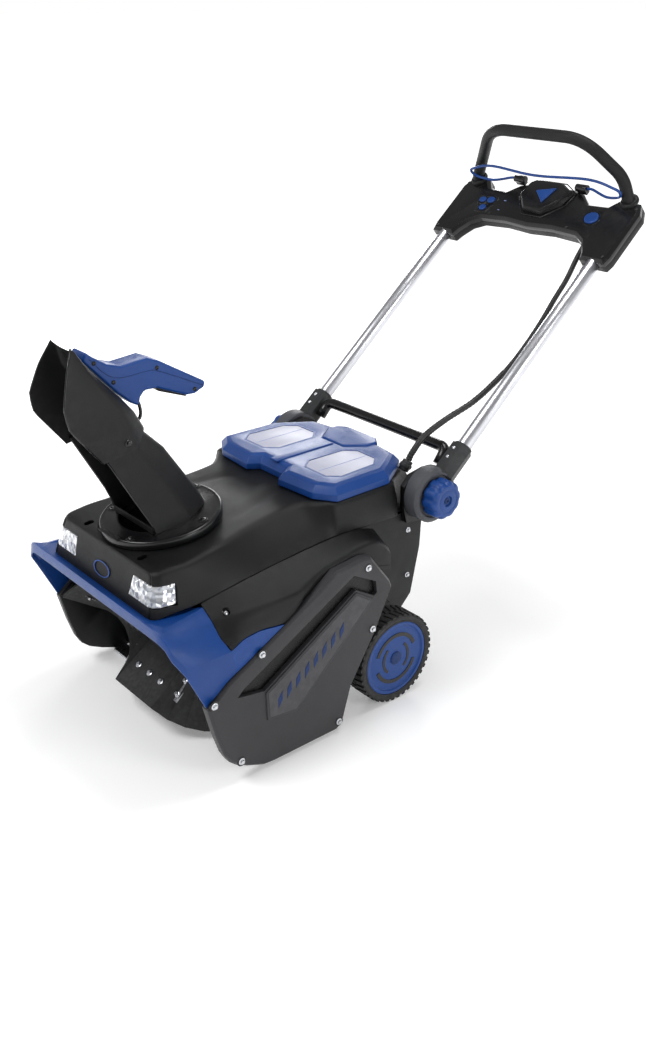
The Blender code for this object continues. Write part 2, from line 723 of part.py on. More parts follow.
def make_lid():
    outline = lid_local(LID_OUTLINE)
    base = LID_BASE - LID_HINGE[1]
    top = LID_TOP - LID_HINGE[1]
    lid = stepped_prism("battery_lid", outline, "Z",
                        [(base, 0.0), (base + 0.011, 0.0), (top - 0.003, 0.010), (top, 0.018)],
                        blue_plastic("battery_lid"), lid_frame)
    pocket = prism("lid_pocket", inset(outline, 0.006), "Z", base - 0.01, base + 0.008, None,
                   lid_frame)
    cut(lid, pocket)
    for side, sign in SIDES:
        shape = lid_local([(sign * x, y) for x, y in WINDOW_OUTLINE])
        opening = prism("window_opening_" + side, shape, "Z", base - 0.01, top + 0.01, None,
                        lid_frame)
        cut(lid, opening)
        prism("lid_window_" + side, inset(shape, GAP), "Z", top - 0.012, top - 0.0005,
              material("lid_window_" + side, (0.7, 0.72, 0.78), 0.3), lid_frame)
    cut(lid, prism("latch_recess", inset(lid_local(LATCH_RECESS), -GAP), "Z",
                   LATCH_FOOT - LID_HINGE[1], 0.05, None, lid_frame))
    latch_frame = frame_empty("latch_frame", lid_frame, (0.0, LATCH_HINGE[0] - LID_HINGE[0],
                                                         LATCH_HINGE[1] - LID_HINGE[1]))
    shape = [(x, y - LATCH_HINGE[0]) for x, y in LATCH_OUTLINE]
    foot = LATCH_FOOT + GAP - LATCH_HINGE[1]
    stepped_prism("lid_latch", shape, "Z", [(foot, 0.0), (-0.0010, 0.0), (0.0020, 0.0030)],
                  blue_plastic("lid_latch"), latch_frame)


make_lid()

# ---------------------------------------------------------------- wheels


def make_wheels():
    rod("wheel_axle", AXLE_RADIUS, -0.2345, 0.2345, steel("wheel_axle"), wheel_frame)
    for side, sign in SIDES:
        tyre = [(WHEEL_IN, 0.0693), (WHEEL_IN, 0.080), (WHEEL_IN + 0.004, WHEEL_RADIUS),
                (WHEEL_OUT - 0.004, WHEEL_RADIUS), (WHEEL_OUT, 0.080), (WHEEL_OUT, 0.0693)]
        turned("wheel_tyre_" + side, [(sign * x, r) for x, r in tyre], rubber("tyre_" + side),
               wheel_frame, steps=32)
        hub = [(0.1955, AXLE_RADIUS + GAP), (0.1955, 0.016), (0.222, 0.016), (0.222, 0.060),
               (0.196, 0.062), (0.196, 0.0690), (0.2370, 0.0690), (0.2370, 0.062),
               (0.2345, 0.059), (0.2350, AXLE_RADIUS + GAP)]
        turned("wheel_hub_" + side, [(sign * x, r) for x, r in hub], blue_plastic("hub_" + side),
               wheel_frame, steps=32)


make_wheels()

# ---------------------------------------------------------------- handle


def make_handle_pivots():
    for side, sign in SIDES:
        bracket = [(0.2930, 0.330), (0.300, 0.302), (0.330, 0.298), (0.372, 0.318),
                   (0.384, 0.350), (0.375, 0.382), (0.345, 0.396), (0.310, 0.390), (0.2930, 0.372)]
        name = "handle_bracket_" + side
        plate = prism(name, bracket, "X", sign * 0.1656, sign * (HUB_IN - GAP),
                      black_plastic(name))
        pin_hole = rod("pin_hole_" + side, 0.0073, sign * 0.15, sign * 0.19, None, handle_frame)
        cut(plate, pin_hole)
        socket_name = "handle_socket_" + side
        disc = [(HUB_IN, 0.0076), (HUB_IN, HUB_RADIUS - 0.002), (HUB_IN + 0.002, HUB_RADIUS),
                (HUB_OUT - 0.005, HUB_RADIUS), (HUB_OUT, HUB_RADIUS - 0.006), (HUB_OUT, 0.040),
                (HUB_OUT - 0.004, 0.038), (HUB_OUT - 0.004, 0.0076)]
        socket = turned(socket_name, [(sign * x, r) for x, r in disc], grey_plastic(socket_name),
                        handle_frame, steps=32)
        channel = [(TUBE_X - 0.0160, -0.012), (TUBE_X - 0.010, -0.020), (TUBE_X + 0.010, -0.020),
                   (TUBE_X + 0.0205, 0.0), (TUBE_X + 0.010, 0.020), (TUBE_X - 0.010, 0.020),
                   (TUBE_X - 0.0160, 0.012)]
        block = prism("channel_" + side, [(sign * x, n) for x, n in channel], "Y", 0.040, 0.102,
                      None, handle_frame)
        bore = rod("tube_bore_" + side, TUBE_RADIUS + GAP, 0.058, 0.12, None, handle_frame, "Y",
                   (sign * TUBE_X, 0.0))
        trunnion = rod("trunnion_" + side, 0.0070, sign * 0.1675, sign * 0.1785, None,
                       handle_frame, steps=16)
        plug = rod("plug_" + side, 0.0100, sign * 0.1770, sign * 0.1790, None, handle_frame,
                   steps=16)
        add(socket, block, plug, trunnion)
        cut(socket, bore)
        rod("handle_tube_" + side, TUBE_RADIUS, 0.0585, 0.640,
            material("tube_" + side, (0.75, 0.76, 0.78), 0.3, 1.0), handle_frame, "Y",
            (sign * TUBE_X, 0.0), steps=24)
        knob_name = "pivot_knob_" + side
        knob = [(HUB_OUT - 0.003, 0.0030), (HUB_OUT - 0.003, 0.034), (0.213, KNOB_RADIUS),
                (0.230, KNOB_RADIUS - 0.001), (KNOB_OUT, KNOB_RADIUS - 0.008), (KNOB_OUT, 0.018),
                (0.2355, 0.016), (0.2355, 0.0030)]
        handwheel = turned(knob_name, [(sign * x, r) for x, r in knob], blue_plastic(knob_name),
                           handle_frame, steps=28)
        add(handwheel, rod("knob_bolt_" + side, 0.0070, sign * 0.1793, sign * 0.2330, None,
                           handle_frame, steps=16))


make_handle_pivots()


def make_crossbar():
    """A bent bar between the tubes, its legs turned down beside the sockets."""
    right = [(0.100, 0.0915, 0.0035), (0.1645, 0.0905, 0.0035), (0.1655, 0.058, -0.002)]
    left = [(-x, y, z) for x, y, z in right[::-1]]
    tube("handle_crossbar", rounded_path(left + right, 0.024, 4), 0.0105,
         black_plastic("handle_crossbar"), handle_frame)


make_crossbar()

CONSOLE_OUTLINE = mirrored([(0.0, 0.592), (0.060, 0.596), (0.122, 0.592), (0.146, 0.578),
                            (0.160, 0.556), (0.166, 0.540), (0.222, 0.540), (0.226, 0.556),
                            (0.226, 0.664), (0.214, 0.688), (0.172, 0.694), (0.152, 0.670),
                            (0.104, 0.668), (0.080, 0.690), (0.050, 0.698)])
POD_OUTLINE = [(-0.036, 0.700), (0.029, 0.700), (0.062, 0.682), (0.055, 0.652), (0.022, 0.619),
               (-0.025, 0.620), (-0.056, 0.655), (-0.050, 0.691)]
TRIANGLE = [(-0.018, 0.667), (0.014, 0.640), (0.027, 0.680)]
CONSOLE_TOP = 0.015
CONSOLE_LOW = -0.020


def lobe(centre, radius, squash=0.8, steps=12):
    return [(centre[0] + (x - centre[0]), centre[1] + (y - centre[1]) * squash)
            for x, y in circle(radius, steps, centre)]


CLUSTER = [("light_button", (-0.124, 0.6365), 0.0100), ("speed_up_button", (-0.1455, 0.6345), 0.0090),
           ("speed_down_button", (-0.133, 0.6150), 0.0090)]
OVAL_CENTRE = (0.136, 0.634)
BAIL_PIVOT = (0.693, 0.0255)
bail_frame = frame_empty("bail_frame", handle_frame, (0.0, *BAIL_PIVOT))


def make_console():
    top = stepped_prism("console_top", CONSOLE_OUTLINE, "Z",
                        [(GAP / 2, 0.0), (CONSOLE_TOP - 0.006, 0.0), (CONSOLE_TOP, 0.006)],
                        black_plastic("console_top"), handle_frame)
    base = stepped_prism("console_base", CONSOLE_OUTLINE, "Z",
                         [(CONSOLE_LOW, 0.006), (CONSOLE_LOW + 0.006, 0.0), (-GAP / 2, 0.0)],
                         black_plastic("console_base"), handle_frame)
    for half in (top, base):
        cut(half, rod(half.name + "_cable_entry", CONDUIT_RADIUS + 0.0012, -0.030, 0.004, None,
                      entry_frame, "Z", steps=16))
    room = inset(CONSOLE_OUTLINE, 0.004)
    cut(top, prism("top_room", room, "Z", -0.01, CONSOLE_TOP - 0.003, None, handle_frame))
    cut(base, prism("base_room", room, "Z", CONSOLE_LOW + 0.003, 0.01, None, handle_frame))
    for side, sign in SIDES:
        for half in (top, base):
            bore = rod(half.name + "_bore_" + side, TUBE_RADIUS + GAP, 0.50, 0.645, None,
                       handle_frame, "Y", (sign * TUBE_X, 0.0))
            cut(half, bore)
    pod = stepped_prism("console_pod", POD_OUTLINE, "Z",
                        [(CONSOLE_TOP - 0.001, 0.0), (0.026, 0.002), (0.029, 0.006)], None,
                        handle_frame)
    add(top, pod)
    cut(top, prism("triangle_well", inset(TRIANGLE, -GAP), "Z", 0.0200, 0.04, None,
                   handle_frame))
    stepped_prism("safety_button", TRIANGLE, "Z", [(0.0240, 0.0), (0.0310, 0.0), (0.0325, 0.002)],
                  blue_plastic("safety_button"), handle_frame)
    for name, centre, radius in CLUSTER:
        cut(top, prism(name + "_hole", lobe(centre, radius + GAP), "Z", 0.0, 0.03, None,
                       handle_frame))
        stepped_prism(name, lobe(centre, radius), "Z", [(0.0085, 0.0), (0.0165, 0.0),
                      (0.0175, 0.0015)], blue_plastic(name), handle_frame, smooth=40)
    cut(top, prism("oval_hole", lobe(OVAL_CENTRE, 0.0163, 0.9), "Z", 0.0, 0.03, None,
                   handle_frame))
    stepped_prism("start_button", lobe(OVAL_CENTRE, 0.0160, 0.9), "Z",
                  [(0.0085, 0.0), (0.0165, 0.0), (0.0180, 0.002)], blue_plastic("start_button"),
                  handle_frame, smooth=40)
    for side, sign in SIDES:
        low = CONSOLE_TOP - 0.001 - BAIL_PIVOT[1]
        foot = box("boss_foot_" + side, (sign * 0.068, -0.006, low), (sign * 0.090, 0.0035, 0.0),
                   None, bail_frame)
        boss = rod("bail_boss_" + side, 0.0075, sign * 0.066, sign * 0.092, None, bail_frame,
                   steps=16)
        hole = rod("boss_hole_" + side, 0.0033, sign * 0.080, sign * 0.10, None, bail_frame,
                   steps=12)
        add(top, foot, boss)
        cut(top, hole)


make_console()


def make_loop_grip():
    right = [(0.1925, 0.685, CONSOLE_TOP + GAP), (0.1925, 0.685, 0.024), (0.1790, 0.7080, 0.055),
             (0.118, 0.716, 0.1400)]
    left = [(-x, y, z) for x, y, z in right[::-1]]
    tube("loop_grip", rounded_path(right + left, 0.045, 5), 0.0125, rubber("loop_grip"),
         handle_frame)


def make_bail():
    right = [(0.0805, 0.0, 0.0), (0.0930, 0.0, 0.0), (0.1050, 0.0, 0.0), (0.1450, -0.0125, 0.0),
             (0.1800, -0.0170, 0.010), (0.1900, -0.0180, 0.024), (0.1780, -0.0170, 0.034),
             (0.1213, -0.0145, 0.046)]
    left = [(-x, y, z) for x, y, z in right[::-1]]
    tube("bail_bar", smooth_route(right + [(0.0, -0.026, 0.050)] + left, 3), 0.003,
         blue_plastic("bail_bar"), bail_frame, 2)


make_loop_grip()
make_bail()

# ---------------------------------------------------------------- chute


def chute_local(y, z):
    dy = y - RING_CENTRE[0]
    dz = z - RING_CENTRE[1]
    c = math.cos(RING_TILT)
    s = math.sin(RING_TILT)
    return (dy * c + dz * s, dz * c - dy * s)


def trough_ring(front, crease, back, side_x, back_x, wall, origin=(0.0, 0.0)):
    """U section open at the front, from (y, z) points at the front, crease and back."""
    def at(x, point, shift=0.0):
        return (x, point[0] + shift - origin[0], point[1] - origin[1])
    outer = [at(side_x, front), at(side_x, crease), at(back_x, back), at(-back_x, back),
             at(-side_x, crease), at(-side_x, front)]
    slim = side_x - wall
    inner = [at(-slim, front), at(-slim, crease, -wall * 0.4), at(-back_x + wall * 0.5, back, -wall),
             at(back_x - wall * 0.5, back, -wall), at(slim, crease, -wall * 0.4), at(slim, front)]
    return outer + inner


def make_chute():
    flange = [(-RING_HALF, 0.0700), (-RING_HALF, RING_RADIUS), (RING_HALF - 0.003, RING_RADIUS),
              (RING_HALF, RING_RADIUS - 0.003), (RING_HALF, 0.0700)]
    turned("chute_flange", flange, black_plastic("chute_flange"), chute_frame, "Z", steps=40)
    low = RING_HALF + GAP
    rings = [
        trough_ring((-0.050, low), (0.020, low), (0.070, low), 0.0635, 0.033, 0.0032),
        trough_ring((-0.052, 0.026), (0.011, 0.026), (0.063, 0.026), 0.0600, 0.032, 0.0032),
        trough_ring((-0.064, 0.060), (-0.001, 0.060), (0.047, 0.060), 0.0530, 0.031, 0.0032),
        trough_ring((-0.106, 0.168), (-0.055, 0.164), (0.0135, 0.1287), 0.0520, 0.030, 0.0032),
    ]
    body = loft("chute_body", rings, black_plastic("chute_body"), chute_frame, shell=True)
    lip = [(-0.0603, -0.050), (-0.0603, -0.053), (0.0603, -0.053), (0.0603, -0.050)]
    apron = prism("chute_apron", lip, "Z", low, 0.020, None, chute_frame)
    add(body, apron)


DEFLECTOR_PIVOT = chute_local(-0.180, 0.535)
deflector_frame = frame_empty("deflector_frame", chute_frame, (0.0, *DEFLECTOR_PIVOT))
deflector_level = frame_empty("deflector_level", deflector_frame, (0.0, 0.0, 0.0), -RING_TILT)
DEFLECTOR_ORIGIN = (-0.180, 0.535)


def level(points):
    return [(y - DEFLECTOR_ORIGIN[0], z - DEFLECTOR_ORIGIN[1]) for y, z in points]


def make_deflector():
    rows = [
        ((-0.225, 0.517), (-0.163, 0.526), (-0.1385, 0.5525), 0.0585, 0.040),
        ((-0.276, 0.583), (-0.172, 0.566), (-0.1530, 0.5795), 0.0585, 0.040),
        ((-0.281, 0.614), (-0.190, 0.602), (-0.1730, 0.6045), 0.0560, 0.039),
        ((-0.267, 0.660), (-0.226, 0.656), (-0.2180, 0.6530), 0.0450, 0.033),
        ((-0.250, 0.697), (-0.243, 0.690), (-0.2380, 0.6850), 0.0310, 0.024),
    ]
    rings = [trough_ring(front, crease, back, side_x, back_x, 0.003, DEFLECTOR_ORIGIN)
             for front, crease, back, side_x, back_x in rows]
    deflector = loft("deflector", rings, black_plastic("deflector"), deflector_level, shell=True)
    deflector.data.name = "deflector"
    outline = level([(-0.2260, 0.6700), (-0.2210, 0.6840), (-0.2090, 0.6740), (-0.1850, 0.6580),
                     (-0.1620, 0.6500), (-0.1140, 0.6540), (-0.0930, 0.6450), (-0.0080, 0.5930),
                     (-0.0110, 0.5840), (-0.0290, 0.5765), (-0.0460, 0.5775), (-0.0990, 0.6010),
                     (-0.1220, 0.6020), (-0.1300, 0.5930), (-0.1340, 0.5790), (-0.1480, 0.5870),
                     (-0.1715, 0.6080)])
    name = "chute_handle"
    grip = prism(name, outline, "X", -0.020, 0.020, blue_plastic(name), deflector_level)
    slot = prism("trigger_slot", level([(-0.105, 0.6320), (-0.034, 0.5950), (-0.034, 0.55),
                                        (-0.105, 0.57)]), "X", -0.0105, 0.0105, None,
                 deflector_level)
    cut(grip, slot)
    chamfer(grip, 0.003, 1, 50)
    trigger_pivot = (-0.097, 0.6105)
    trigger_frame = frame_empty("trigger_frame", deflector_level,
                                (0.0, *level([trigger_pivot])[0]))
    shape = [(-0.101, 0.613), (-0.093, 0.613), (-0.041, 0.585), (-0.041, 0.572), (-0.092, 0.592),
             (-0.101, 0.603)]
    local = [(y - trigger_pivot[0], z - trigger_pivot[1]) for y, z in shape]
    name = "chute_trigger"
    trigger = prism(name, local, "X", -0.0100, 0.0100, black_plastic(name), trigger_frame)
    trigger.data.name = name


make_chute()
make_deflector()

# ---------------------------------------------------------------- cable conduit


def make_conduit():
    tube("cable_conduit", smooth_route(CONDUIT_ROUTE, 3), CONDUIT_RADIUS,
         rubber("cable_conduit"), machine, 2)
    name = "conduit_gland"
    rod(name, 0.0095, -0.0200, 0.0, black_plastic(name), gland_frame, "Z", steps=20)


make_conduit()
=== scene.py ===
"""The snow blower's visual model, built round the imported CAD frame. Metres, +Z up."""
import json
import math

import bmesh
import bpy
from mathutils import Matrix, Vector


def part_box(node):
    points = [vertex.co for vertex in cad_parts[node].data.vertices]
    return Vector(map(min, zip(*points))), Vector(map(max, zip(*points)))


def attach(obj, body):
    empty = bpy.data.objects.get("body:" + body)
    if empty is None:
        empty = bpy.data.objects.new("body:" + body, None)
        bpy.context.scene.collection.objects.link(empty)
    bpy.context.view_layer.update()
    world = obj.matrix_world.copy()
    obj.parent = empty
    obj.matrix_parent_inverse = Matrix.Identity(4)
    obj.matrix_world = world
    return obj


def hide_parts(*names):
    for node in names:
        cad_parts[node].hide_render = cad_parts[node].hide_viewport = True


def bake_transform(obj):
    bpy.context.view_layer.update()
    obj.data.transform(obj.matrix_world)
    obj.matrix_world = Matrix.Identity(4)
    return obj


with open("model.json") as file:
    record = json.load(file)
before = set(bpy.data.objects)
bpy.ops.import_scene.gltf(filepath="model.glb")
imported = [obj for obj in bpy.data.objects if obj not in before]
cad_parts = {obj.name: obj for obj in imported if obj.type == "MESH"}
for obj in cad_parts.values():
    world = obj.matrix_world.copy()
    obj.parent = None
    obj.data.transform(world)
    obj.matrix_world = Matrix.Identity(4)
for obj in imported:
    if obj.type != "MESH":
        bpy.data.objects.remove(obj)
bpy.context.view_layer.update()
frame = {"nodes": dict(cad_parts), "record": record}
NODES = frame["nodes"]

# ---------------------------------------------------------------- frames of the machine


def middle(node):
    low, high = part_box(node)
    return (low + high) / 2


WHEEL_Y = 0.224                 # wheel centre in the machine's own frame
MACHINE_Y = middle("wheel_tyre_left").y - WHEEL_Y
HANDLE_ANGLE = math.radians(40.4)
RING_TILT = math.radians(7.4)
PIVOT = (0.340, 0.353)
RING_CENTRE = (-0.0948, 0.3746)
AUGER_AXIS = (-0.085, 0.118)
WHEEL_AXIS = (WHEEL_Y, 0.084)


def placed(y, z, tilt=0.0):
    return Matrix.Translation((0.0, y + MACHINE_Y, z)) @ Matrix.Rotation(tilt, 4, "X")


MACHINE = placed(0.0, 0.0)
HANDLE = placed(*PIVOT, HANDLE_ANGLE)
CHUTE = placed(*RING_CENTRE, RING_TILT)
AUGER = placed(*AUGER_AXIS)
WHEEL = placed(*WHEEL_AXIS)

# ---------------------------------------------------------------- camera

SENSOR = 36.0


def make_camera():
    """The photograph's view: from the operator's left front, about 21 degrees up."""
    azimuth = math.radians(50.17)
    elevation = math.radians(20.94)
    roll = math.radians(-0.21)
    data = bpy.data.cameras.new("camera")
    data.sensor_width = SENSOR
    data.lens = 40.06
    data.shift_x = -0.0023
    data.shift_y = -0.0833
    camera = bpy.data.objects.new("camera", data)
    bpy.context.collection.objects.link(camera)
    back = Vector((math.sin(azimuth) * math.cos(elevation),
                   -math.cos(azimuth) * math.cos(elevation), math.sin(elevation)))
    right = Vector((math.cos(azimuth), math.sin(azimuth), 0.0))
    up = back.cross(right)
    turned_right = right * math.cos(roll) + up * math.sin(roll)
    turned_up = up * math.cos(roll) - right * math.sin(roll)
    view = Matrix((turned_right, turned_up, back)).transposed().to_4x4()
    view.translation = Vector((1.5243, -1.0111 + MACHINE_Y, 1.1848))
    camera.matrix_world = view
    bpy.context.scene.camera = camera


make_camera()

# ---------------------------------------------------------------- materials


class Graph:
    """A short way to build a material's nodes."""

    def __init__(self, name):
        self.mat = bpy.data.materials.new(name)
        self.mat.use_nodes = True
        self.tree = self.mat.node_tree
        self.shader = self.tree.nodes["Principled BSDF"]
        self.where = self.node("ShaderNodeTexCoord").outputs["Object"]

    def node(self, kind, **settings):
        made = self.tree.nodes.new(kind)
        for key, value in settings.items():
            setattr(made, key, value)
        return made

    def link(self, source, target):
        self.tree.links.new(source, target)

    def noise(self, scale, detail=3.0, rough=0.55, where=None):
        made = self.node("ShaderNodeTexNoise")
        made.inputs["Scale"].default_value = scale
        made.inputs["Detail"].default_value = detail
        made.inputs["Roughness"].default_value = rough
        self.link(where or self.where, made.inputs["Vector"])
        return made.outputs["Fac"]

    def ramp(self, value, low, high, out_low=0.0, out_high=1.0):
        made = self.node("ShaderNodeMapRange")
        made.inputs["From Min"].default_value = low
        made.inputs["From Max"].default_value = high
        made.inputs["To Min"].default_value = out_low
        made.inputs["To Max"].default_value = out_high
        self.link(value, made.inputs["Value"])
        return made.outputs["Result"]

    def mix(self, amount, first, second):
        made = self.node("ShaderNodeMix", data_type="RGBA")
        if isinstance(amount, float):
            made.inputs["Factor"].default_value = amount
        else:
            self.link(amount, made.inputs["Factor"])
        for socket, value in ((made.inputs["A"], first), (made.inputs["B"], second)):
            if isinstance(value, tuple):
                socket.default_value = (*value, 1.0)
            else:
                self.link(value, socket)
        return made.outputs["Result"]

    def maths(self, operation, first, second):
        made = self.node("ShaderNodeMath", operation=operation)
        for socket, value in ((made.inputs[0], first), (made.inputs[1], second)):
            if isinstance(value, float):
                socket.default_value = value
            else:
                self.link(value, socket)
        return made.outputs[0]

    def bump(self, height, distance, strength=1.0):
        made = self.node("ShaderNodeBump")
        made.inputs["Distance"].default_value = distance
        made.inputs["Strength"].default_value = strength
        self.link(height, made.inputs["Height"])
        self.link(made.outputs["Normal"], self.shader.inputs["Normal"])

    def set(self, **values):
        for key, value in values.items():
            socket = self.shader.inputs[key.replace("_", " ")]
            if isinstance(value, (int, float)):
                socket.default_value = value
            elif isinstance(value, tuple):
                socket.default_value = (*value, 1.0)
            else:
                self.link(value, socket)


def scaled(colour, factor):
    return tuple(min(1.0, channel * factor) for channel in colour)


def moulded(name, colour, rough, grain=1100.0, relief=0.00006, rub_and_highlight_amount=0.35, coat=0.0):
    """Moulded plastic: fine spark grain, slow mottling, and paler edges that are partly rubbed
    wear and partly a painted highlight.
    """
    g = Graph(name)
    slow = g.noise(9.0, 4.0, 0.6)
    fine = g.noise(grain, 2.0, 0.7)
    body = g.mix(g.ramp(slow, 0.35, 0.7), scaled(colour, 0.93), scaled(colour, 1.07))
    # convex edges made paler in noisy patches: partly real edge wear, partly a painted highlight
    # along the edges
    edge = g.ramp(g.node("ShaderNodeNewGeometry").outputs["Pointiness"], 0.52, 0.60)
    patchy_rub_and_highlight = g.maths("MULTIPLY", edge, g.ramp(g.noise(70.0, 4.0), 0.42, 0.62, 0.15, 1.0))
    rub_and_highlight = g.maths("MULTIPLY", patchy_rub_and_highlight, rub_and_highlight_amount)
    pale = tuple(channel * 1.9 + 0.012 for channel in colour)
    g.set(Base_Color=g.mix(rub_and_highlight, body, pale))
    patchy = g.ramp(g.noise(26.0, 5.0, 0.65), 0.3, 0.7, rough - 0.05, rough + 0.07)
    g.set(Roughness=patchy, Coat_Weight=coat, Coat_Roughness=0.18, Specular_IOR_Level=0.26)
    g.bump(g.maths("ADD", fine, g.maths("MULTIPLY", slow, 0.6)), relief * 6)
    return g.mat


def rubbery(name, colour=(0.014, 0.014, 0.015), rough=0.72, relief=0.0005):
    """Rubber: matt, pitted, with grey dust in patches."""
    g = Graph(name)
    dust = g.ramp(g.noise(38.0, 6.0, 0.7), 0.5, 0.75, 0.0, 0.5)
    g.set(Base_Color=g.mix(dust, colour, (0.05, 0.049, 0.047)))
    g.set(Roughness=g.ramp(g.noise(140.0, 3.0), 0.3, 0.7, rough - 0.06, rough + 0.12))
    g.bump(g.noise(700.0, 3.0, 0.6), relief)
    return g.mat


def metal(name, colour, rough, stretch=(1.0, 1.0, 1.0), streak=0.1, relief=0.00005):
    """Bare or plated metal with fine drawn streaks; stretch squeezes them along an axis."""
    g = Graph(name)
    mapping = g.node("ShaderNodeMapping")
    mapping.inputs["Scale"].default_value = stretch
    g.link(g.where, mapping.inputs["Vector"])
    lines = g.noise(320.0, 4.0, 0.6, mapping.outputs["Vector"])
    cloud = g.noise(30.0, 5.0, 0.6)
    tone = g.mix(g.ramp(cloud, 0.3, 0.7), scaled(colour, 0.94), scaled(colour, 1.04))
    g.set(Base_Color=tone, Metallic=1.0)
    g.set(Roughness=g.ramp(lines, 0.3, 0.7, rough - streak / 2, rough + streak))
    g.bump(lines, relief)
    return g.mat


def lamp_glass(name):
    """Clear lens over a faceted chrome bowl: cells painted bright or grey as painted reflections,
    with thin dark joints.
    """
    g = Graph(name)
    cells = g.node("ShaderNodeTexVoronoi", feature="F1")
    cells.inputs["Scale"].default_value = 95.0
    g.link(g.where, cells.inputs["Vector"])
    # each cell painted bright or grey: painted reflections in the chrome facets
    facet_glint = g.node("ShaderNodeSeparateColor")
    g.link(cells.outputs["Color"], facet_glint.inputs["Color"])
    tone = g.mix(g.ramp(facet_glint.outputs["Red"], 0.1, 0.9), (0.30, 0.32, 0.36), (0.95, 0.96, 0.98))
    g.set(Base_Color=tone, Metallic=0.55, Roughness=0.12, Coat_Weight=1.0, Coat_Roughness=0.03)
    g.bump(cells.outputs["Distance"], 0.004)
    return g.mat


def frosted(name):
    """Frosted window plastic, with the fine lines of the ribs moulded behind it."""
    g = Graph(name)
    wave = g.node("ShaderNodeTexWave", wave_type="BANDS", bands_direction="X")
    wave.inputs["Scale"].default_value = 60.0
    wave.inputs["Distortion"].default_value = 0.6
    g.link(g.where, wave.inputs["Vector"])
    cloud = g.noise(14.0, 4.0)
    tone = g.mix(g.ramp(cloud, 0.3, 0.7), (0.36, 0.37, 0.46), (0.46, 0.47, 0.57))
    g.set(Base_Color=g.mix(g.ramp(wave.outputs["Fac"], 0.2, 0.8, 0.0, 0.25), tone,
                           (0.54, 0.55, 0.64)))
    g.set(Roughness=g.ramp(cloud, 0.3, 0.7, 0.42, 0.52), Coat_Weight=0.1, Coat_Roughness=0.3,
          Specular_IOR_Level=0.3)
    g.bump(g.noise(500.0, 2.0), 0.0001)
    return g.mat


BLACK = (0.0034, 0.0034, 0.0039)
BLUE = (0.0055, 0.044, 0.205)
MATERIALS = {
    "black": moulded("black_plastic", BLACK, 0.38),
    "plate": moulded("plate_black", (0.032, 0.032, 0.035), 0.38, grain=800.0),
    # near-black: painted shade for the plate pockets and the skirt vents
    "painted_shade": moulded("painted_shade_black", (0.0016, 0.0016, 0.0018), 0.24),
    "gloss": moulded("gloss_black", (0.0055, 0.0055, 0.0062), 0.22, relief=0.00002, coat=0.25),
    "plaque": moulded("plaque_grey", (0.050, 0.050, 0.055), 0.44, grain=700.0, relief=0.0001),
    "blue": moulded("blue_plastic", BLUE, 0.36, coat=0.12),
    "deep": moulded("deep_blue", scaled(BLUE, 0.5), 0.4),
    "pale": moulded("pale_blue", (0.20, 0.26, 0.50), 0.4),
    "grey": moulded("grey_plastic", (0.062, 0.064, 0.072), 0.46),
    "socket": moulded("dark_grey_plastic", (0.026, 0.027, 0.028), 0.48),
    "rubber": rubbery("black_rubber"),
    "hose": rubbery("conduit_rubber", (0.008, 0.008, 0.0085), 0.45, 0.0002),
    "tyre": rubbery("tyre_rubber", (0.012, 0.012, 0.013), 0.66),
    "grip": moulded("grip_rubber", (0.0065, 0.0065, 0.0070), 0.46, relief=0.00008, rub_and_highlight_amount=0.1),
    "aluminium": metal("drawn_aluminium", (0.60, 0.605, 0.64), 0.30, (1.0, 0.03, 1.0), 0.05,
                       0.00001),
    "zinc": metal("zinc_plate", (0.62, 0.63, 0.66), 0.26),
    "steel": metal("machined_steel", (0.42, 0.425, 0.44), 0.34, (0.05, 1.0, 1.0)),
    "lamp": lamp_glass("lamp_lens"),
    "window": frosted("frosted_window"),
}
# each material slot with its looks, the CAD's own look first
SLOTS = {"black_plastic": ("black", "gloss", "plaque", "plate", "painted_shade"),
         "blue_plastic": ("blue", "deep", "pale"), "grey_plastic": ("grey", "socket"),
         "rubber": ("rubber", "hose", "grip"), "tyre": ("tyre",), "aluminium": ("aluminium",),
         "steel": ("steel", "zinc"), "lamp": ("lamp",), "window": ("window",)}

for part in frame["record"]["subparts"]:
    cad_mesh = NODES[part["node"]].data
    cad_mesh.materials.clear()
    cad_mesh.materials.append(MATERIALS[SLOTS[part["material_slot"]][0]])

# ---------------------------------------------------------------- mesh tools

BODY_OF = {node: body for body, nodes in frame["record"]["behaviour"]["bodies"].items()
           for node in nodes}
SIDES = (("left", 1), ("right", -1))


def new_object(name, bm, where=MACHINE, tidy=True):
    bm.transform(where)
    if tidy:
        bmesh.ops.recalc_face_normals(bm, faces=bm.faces)
    mesh = bpy.data.meshes.new(name)
    bm.to_mesh(mesh)
    bm.free()
    obj = bpy.data.objects.new(name, mesh)
    bpy.context.collection.objects.link(obj)
    mesh.shade_smooth()
    return obj


def settle(obj, look, body, nodes=()):
    """Give a piece its material and its body, and hide the CAD nodes it stands for."""
    if look:
        obj.data.materials.clear()
        obj.data.materials.append(MATERIALS[look])
    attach(obj, body)
    if nodes:
        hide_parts(*nodes)
    return obj


def crisp(obj, angle=35.0):
    obj.data.set_sharp_from_angle(angle=math.radians(angle))
    return obj


def soften(obj, width, segments=2, angle=30.0):
    edge = obj.modifiers.new("edge", "BEVEL")
    edge.width = width
    edge.segments = segments
    edge.limit_method = "ANGLE"
    edge.angle_limit = math.radians(angle)
    edge.harden_normals = True
    edge.use_clamp_overlap = True
    return obj


def carve(obj, *tools):
    """Cut the tools out of a piece for good, and take the tools away."""
    for tool in tools:
        cut = obj.modifiers.new(tool.name, "BOOLEAN")
        cut.operation = "DIFFERENCE"
        cut.object = tool
    bpy.context.view_layer.update()
    graph = bpy.context.evaluated_depsgraph_get()
    mesh = bpy.data.meshes.new_from_object(obj.evaluated_get(graph))
    obj.modifiers.clear()
    obj.data = mesh
    for tool in tools:
        bpy.data.objects.remove(tool, do_unlink=True)
    return obj


